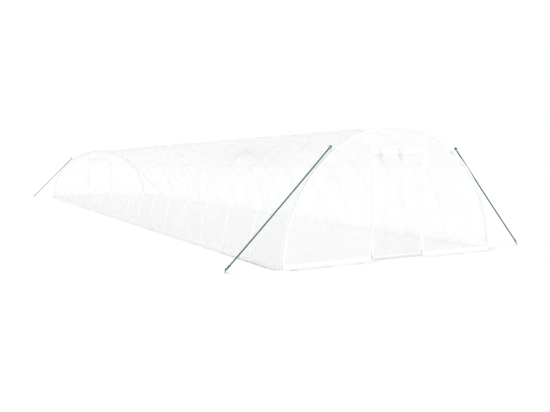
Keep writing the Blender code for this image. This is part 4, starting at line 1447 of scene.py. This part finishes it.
def build_braces():
    """A brace in each corner bay, from the end hoop's foot up to the next hoop."""
    for corner, x_sign, y_sign in CORNERS:
        ends, seats, mirror = [], [], vec(x_sign, y_sign, 1)
        for angle, y, past in ((BRACE_ANGLES[0], LENGTH / 2, 0),
                               (BRACE_ANGLES[1], LENGTH / 2 - BAY, BRACE_FLAT)):
            ends.append(arch(INSIDE_RADIUS - 0.0005, angle, y) * mirror)
            seats.append((arch(1.0, angle) * mirror * BRACE_OFFSET, past, BRACE_FLAT))
        build_strut(f"{corner}_brace", *ends, THIN_TUBE, seats, 1)


def build_pegs():
    """The tops of the bent wire pegs, down to the ground."""
    half = PEG_WIDTH / 2 - PEG_WIRE / 2
    bend = PEG_HEIGHT - PEG_WIRE / 2 - half
    leg = (0.0004, 0.0012, 0.008, 0.016, 0.023)
    route = [(0, -half, z) for z in leg]
    turn = np.linspace(math.pi, 0, 25)
    route += [(0, half * math.cos(angle), bend + half * math.sin(angle)) for angle in turn]
    route += [(0, half, z) for z in leg[::-1]]
    for corner, x_sign, y_sign in CORNERS:
        shape = Shape()
        tube(shape, np.array(route) + vec(x_sign * PEG_X, y_sign * PEG_Y, 0), PEG_WIRE,
             up=(1, 0, 0))
        make_piece(f"{corner}_wire_peg", shape, "wire", f"{corner}_peg")


def build_all():
    cover = build_cover()
    trims = []
    for number, y in enumerate(HOOP_YS, start=1):
        build_hoop(number, y)
    build_lengthwise()
    build_braces()
    for seed, (end, y_sign) in enumerate(ENDS.items()):
        film = build_end_panel(end, 11.0 + 7 * seed)
        binding = build_binding(end)
        zips = []
        for side, sign in SIDES.items():
            zips.append(build_zip(end, side, -sign * y_sign))
            build_slider(end, side, -sign * y_sign)
            trims.append(build_tab(f"{end}_{side}", sign, y_sign))
        door, sleeve = build_door(end, 3.0 + 5 * seed)
        build_bar(end)
        ties = build_ties(end)
        build_end_frame(end)
        trims.append(binding)
        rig.sheet(film, flat=(3.99, 2.15), held="stretched", area=5.20,
                 rests_on=[f"{end}_sill_tube", f"{end}_left_post_tube", f"{end}_right_post_tube"],
                 with_pieces=zips)
        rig.sheet(door, flat=(0.952, 1.576), held="hung", rests_on=[ties], with_pieces=[sleeve])
    hoops = [f"hoop_tube_{number:02d}" for number in range(1, BAYS + 2)]
    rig.sheet(cover, flat=(6.57, 20.03), held="stretched", rests_on=hoops, with_pieces=trims)
    build_pegs()


build_all()


# Floor and light

def build_floor():
    """A white floor that keeps the object's shadow.

    The lift that makes the floor white is lower on the ground inside the tunnel, which paints a
    shadow there, deeper than the one that the film casts.
    """
    nodes = new_material("floor")
    nodes.set("Base Color", FLOOR_COLOUR)
    nodes.set("Roughness", 1.0)
    nodes.set("Specular IOR Level", 0.0)
    nodes.set("Emission Color", WHITE)
    x, y, _ = nodes.parts(nodes.place())
    beyond = nodes.math("MAXIMUM", nodes.math("ABSOLUTE", x) - COVER_RADIUS,
                        nodes.math("ABSOLUTE", y) - COVER_HALF)
    # Under the tunnel the lift falls to its inside value: a painted shadow.
    lift = nodes.spread(beyond, 0.0, 0.12, LIFT_UNDER_PAINTED_SHADOW, LIFT_OUTSIDE)
    nodes.set("Emission Strength", nodes.seen() * lift)
    mesh = bpy.data.meshes.new("floor")
    corners = vec((-1, -1, 0), (1, -1, 0), (1, 1, 0), (-1, 1, 0)) * FLOOR_REACH
    mesh.from_pydata(corners.tolist(), [], [(0, 1, 2, 3)])
    mesh.materials.append(nodes.owner)
    floor = new_object("floor", mesh)
    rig.stage(floor)


def build_light():
    """An even studio sky, plain white where it is seen, and a soft lamp."""
    world = Nodes(bpy.data.worlds.new("studio"), "Background")
    bpy.context.scene.world = world.owner
    world.set("Color", WHITE)
    world.set("Strength", SKY_LIGHT)
    light = Value(world, world.shader.outputs[0])
    sight = world.add("Background", {"Color": WHITE, "Strength": 1.0})
    mix = world.add("MixShader", {0: world.seen(), 1: light, 2: sight})
    world.link(mix, world.tree.nodes["World Output"].inputs[0])
    data = bpy.data.lights.new("key", "SUN")
    data.energy, data.angle = SUN_LIGHT, SUN_ANGLE
    key = new_object("key", data)
    key.rotation_euler = Vector(SUN_WAY).to_track_quat("-Z", "Y").to_euler()


build_floor()
build_light()
bpy.context.scene.view_settings.view_transform = "Standard"

with open("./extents.json", "w") as out:
    json.dump({"cad": [list(corner) for corner in CAD_BOX],
               "visual": [list(corner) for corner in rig.bounds()]}, out)
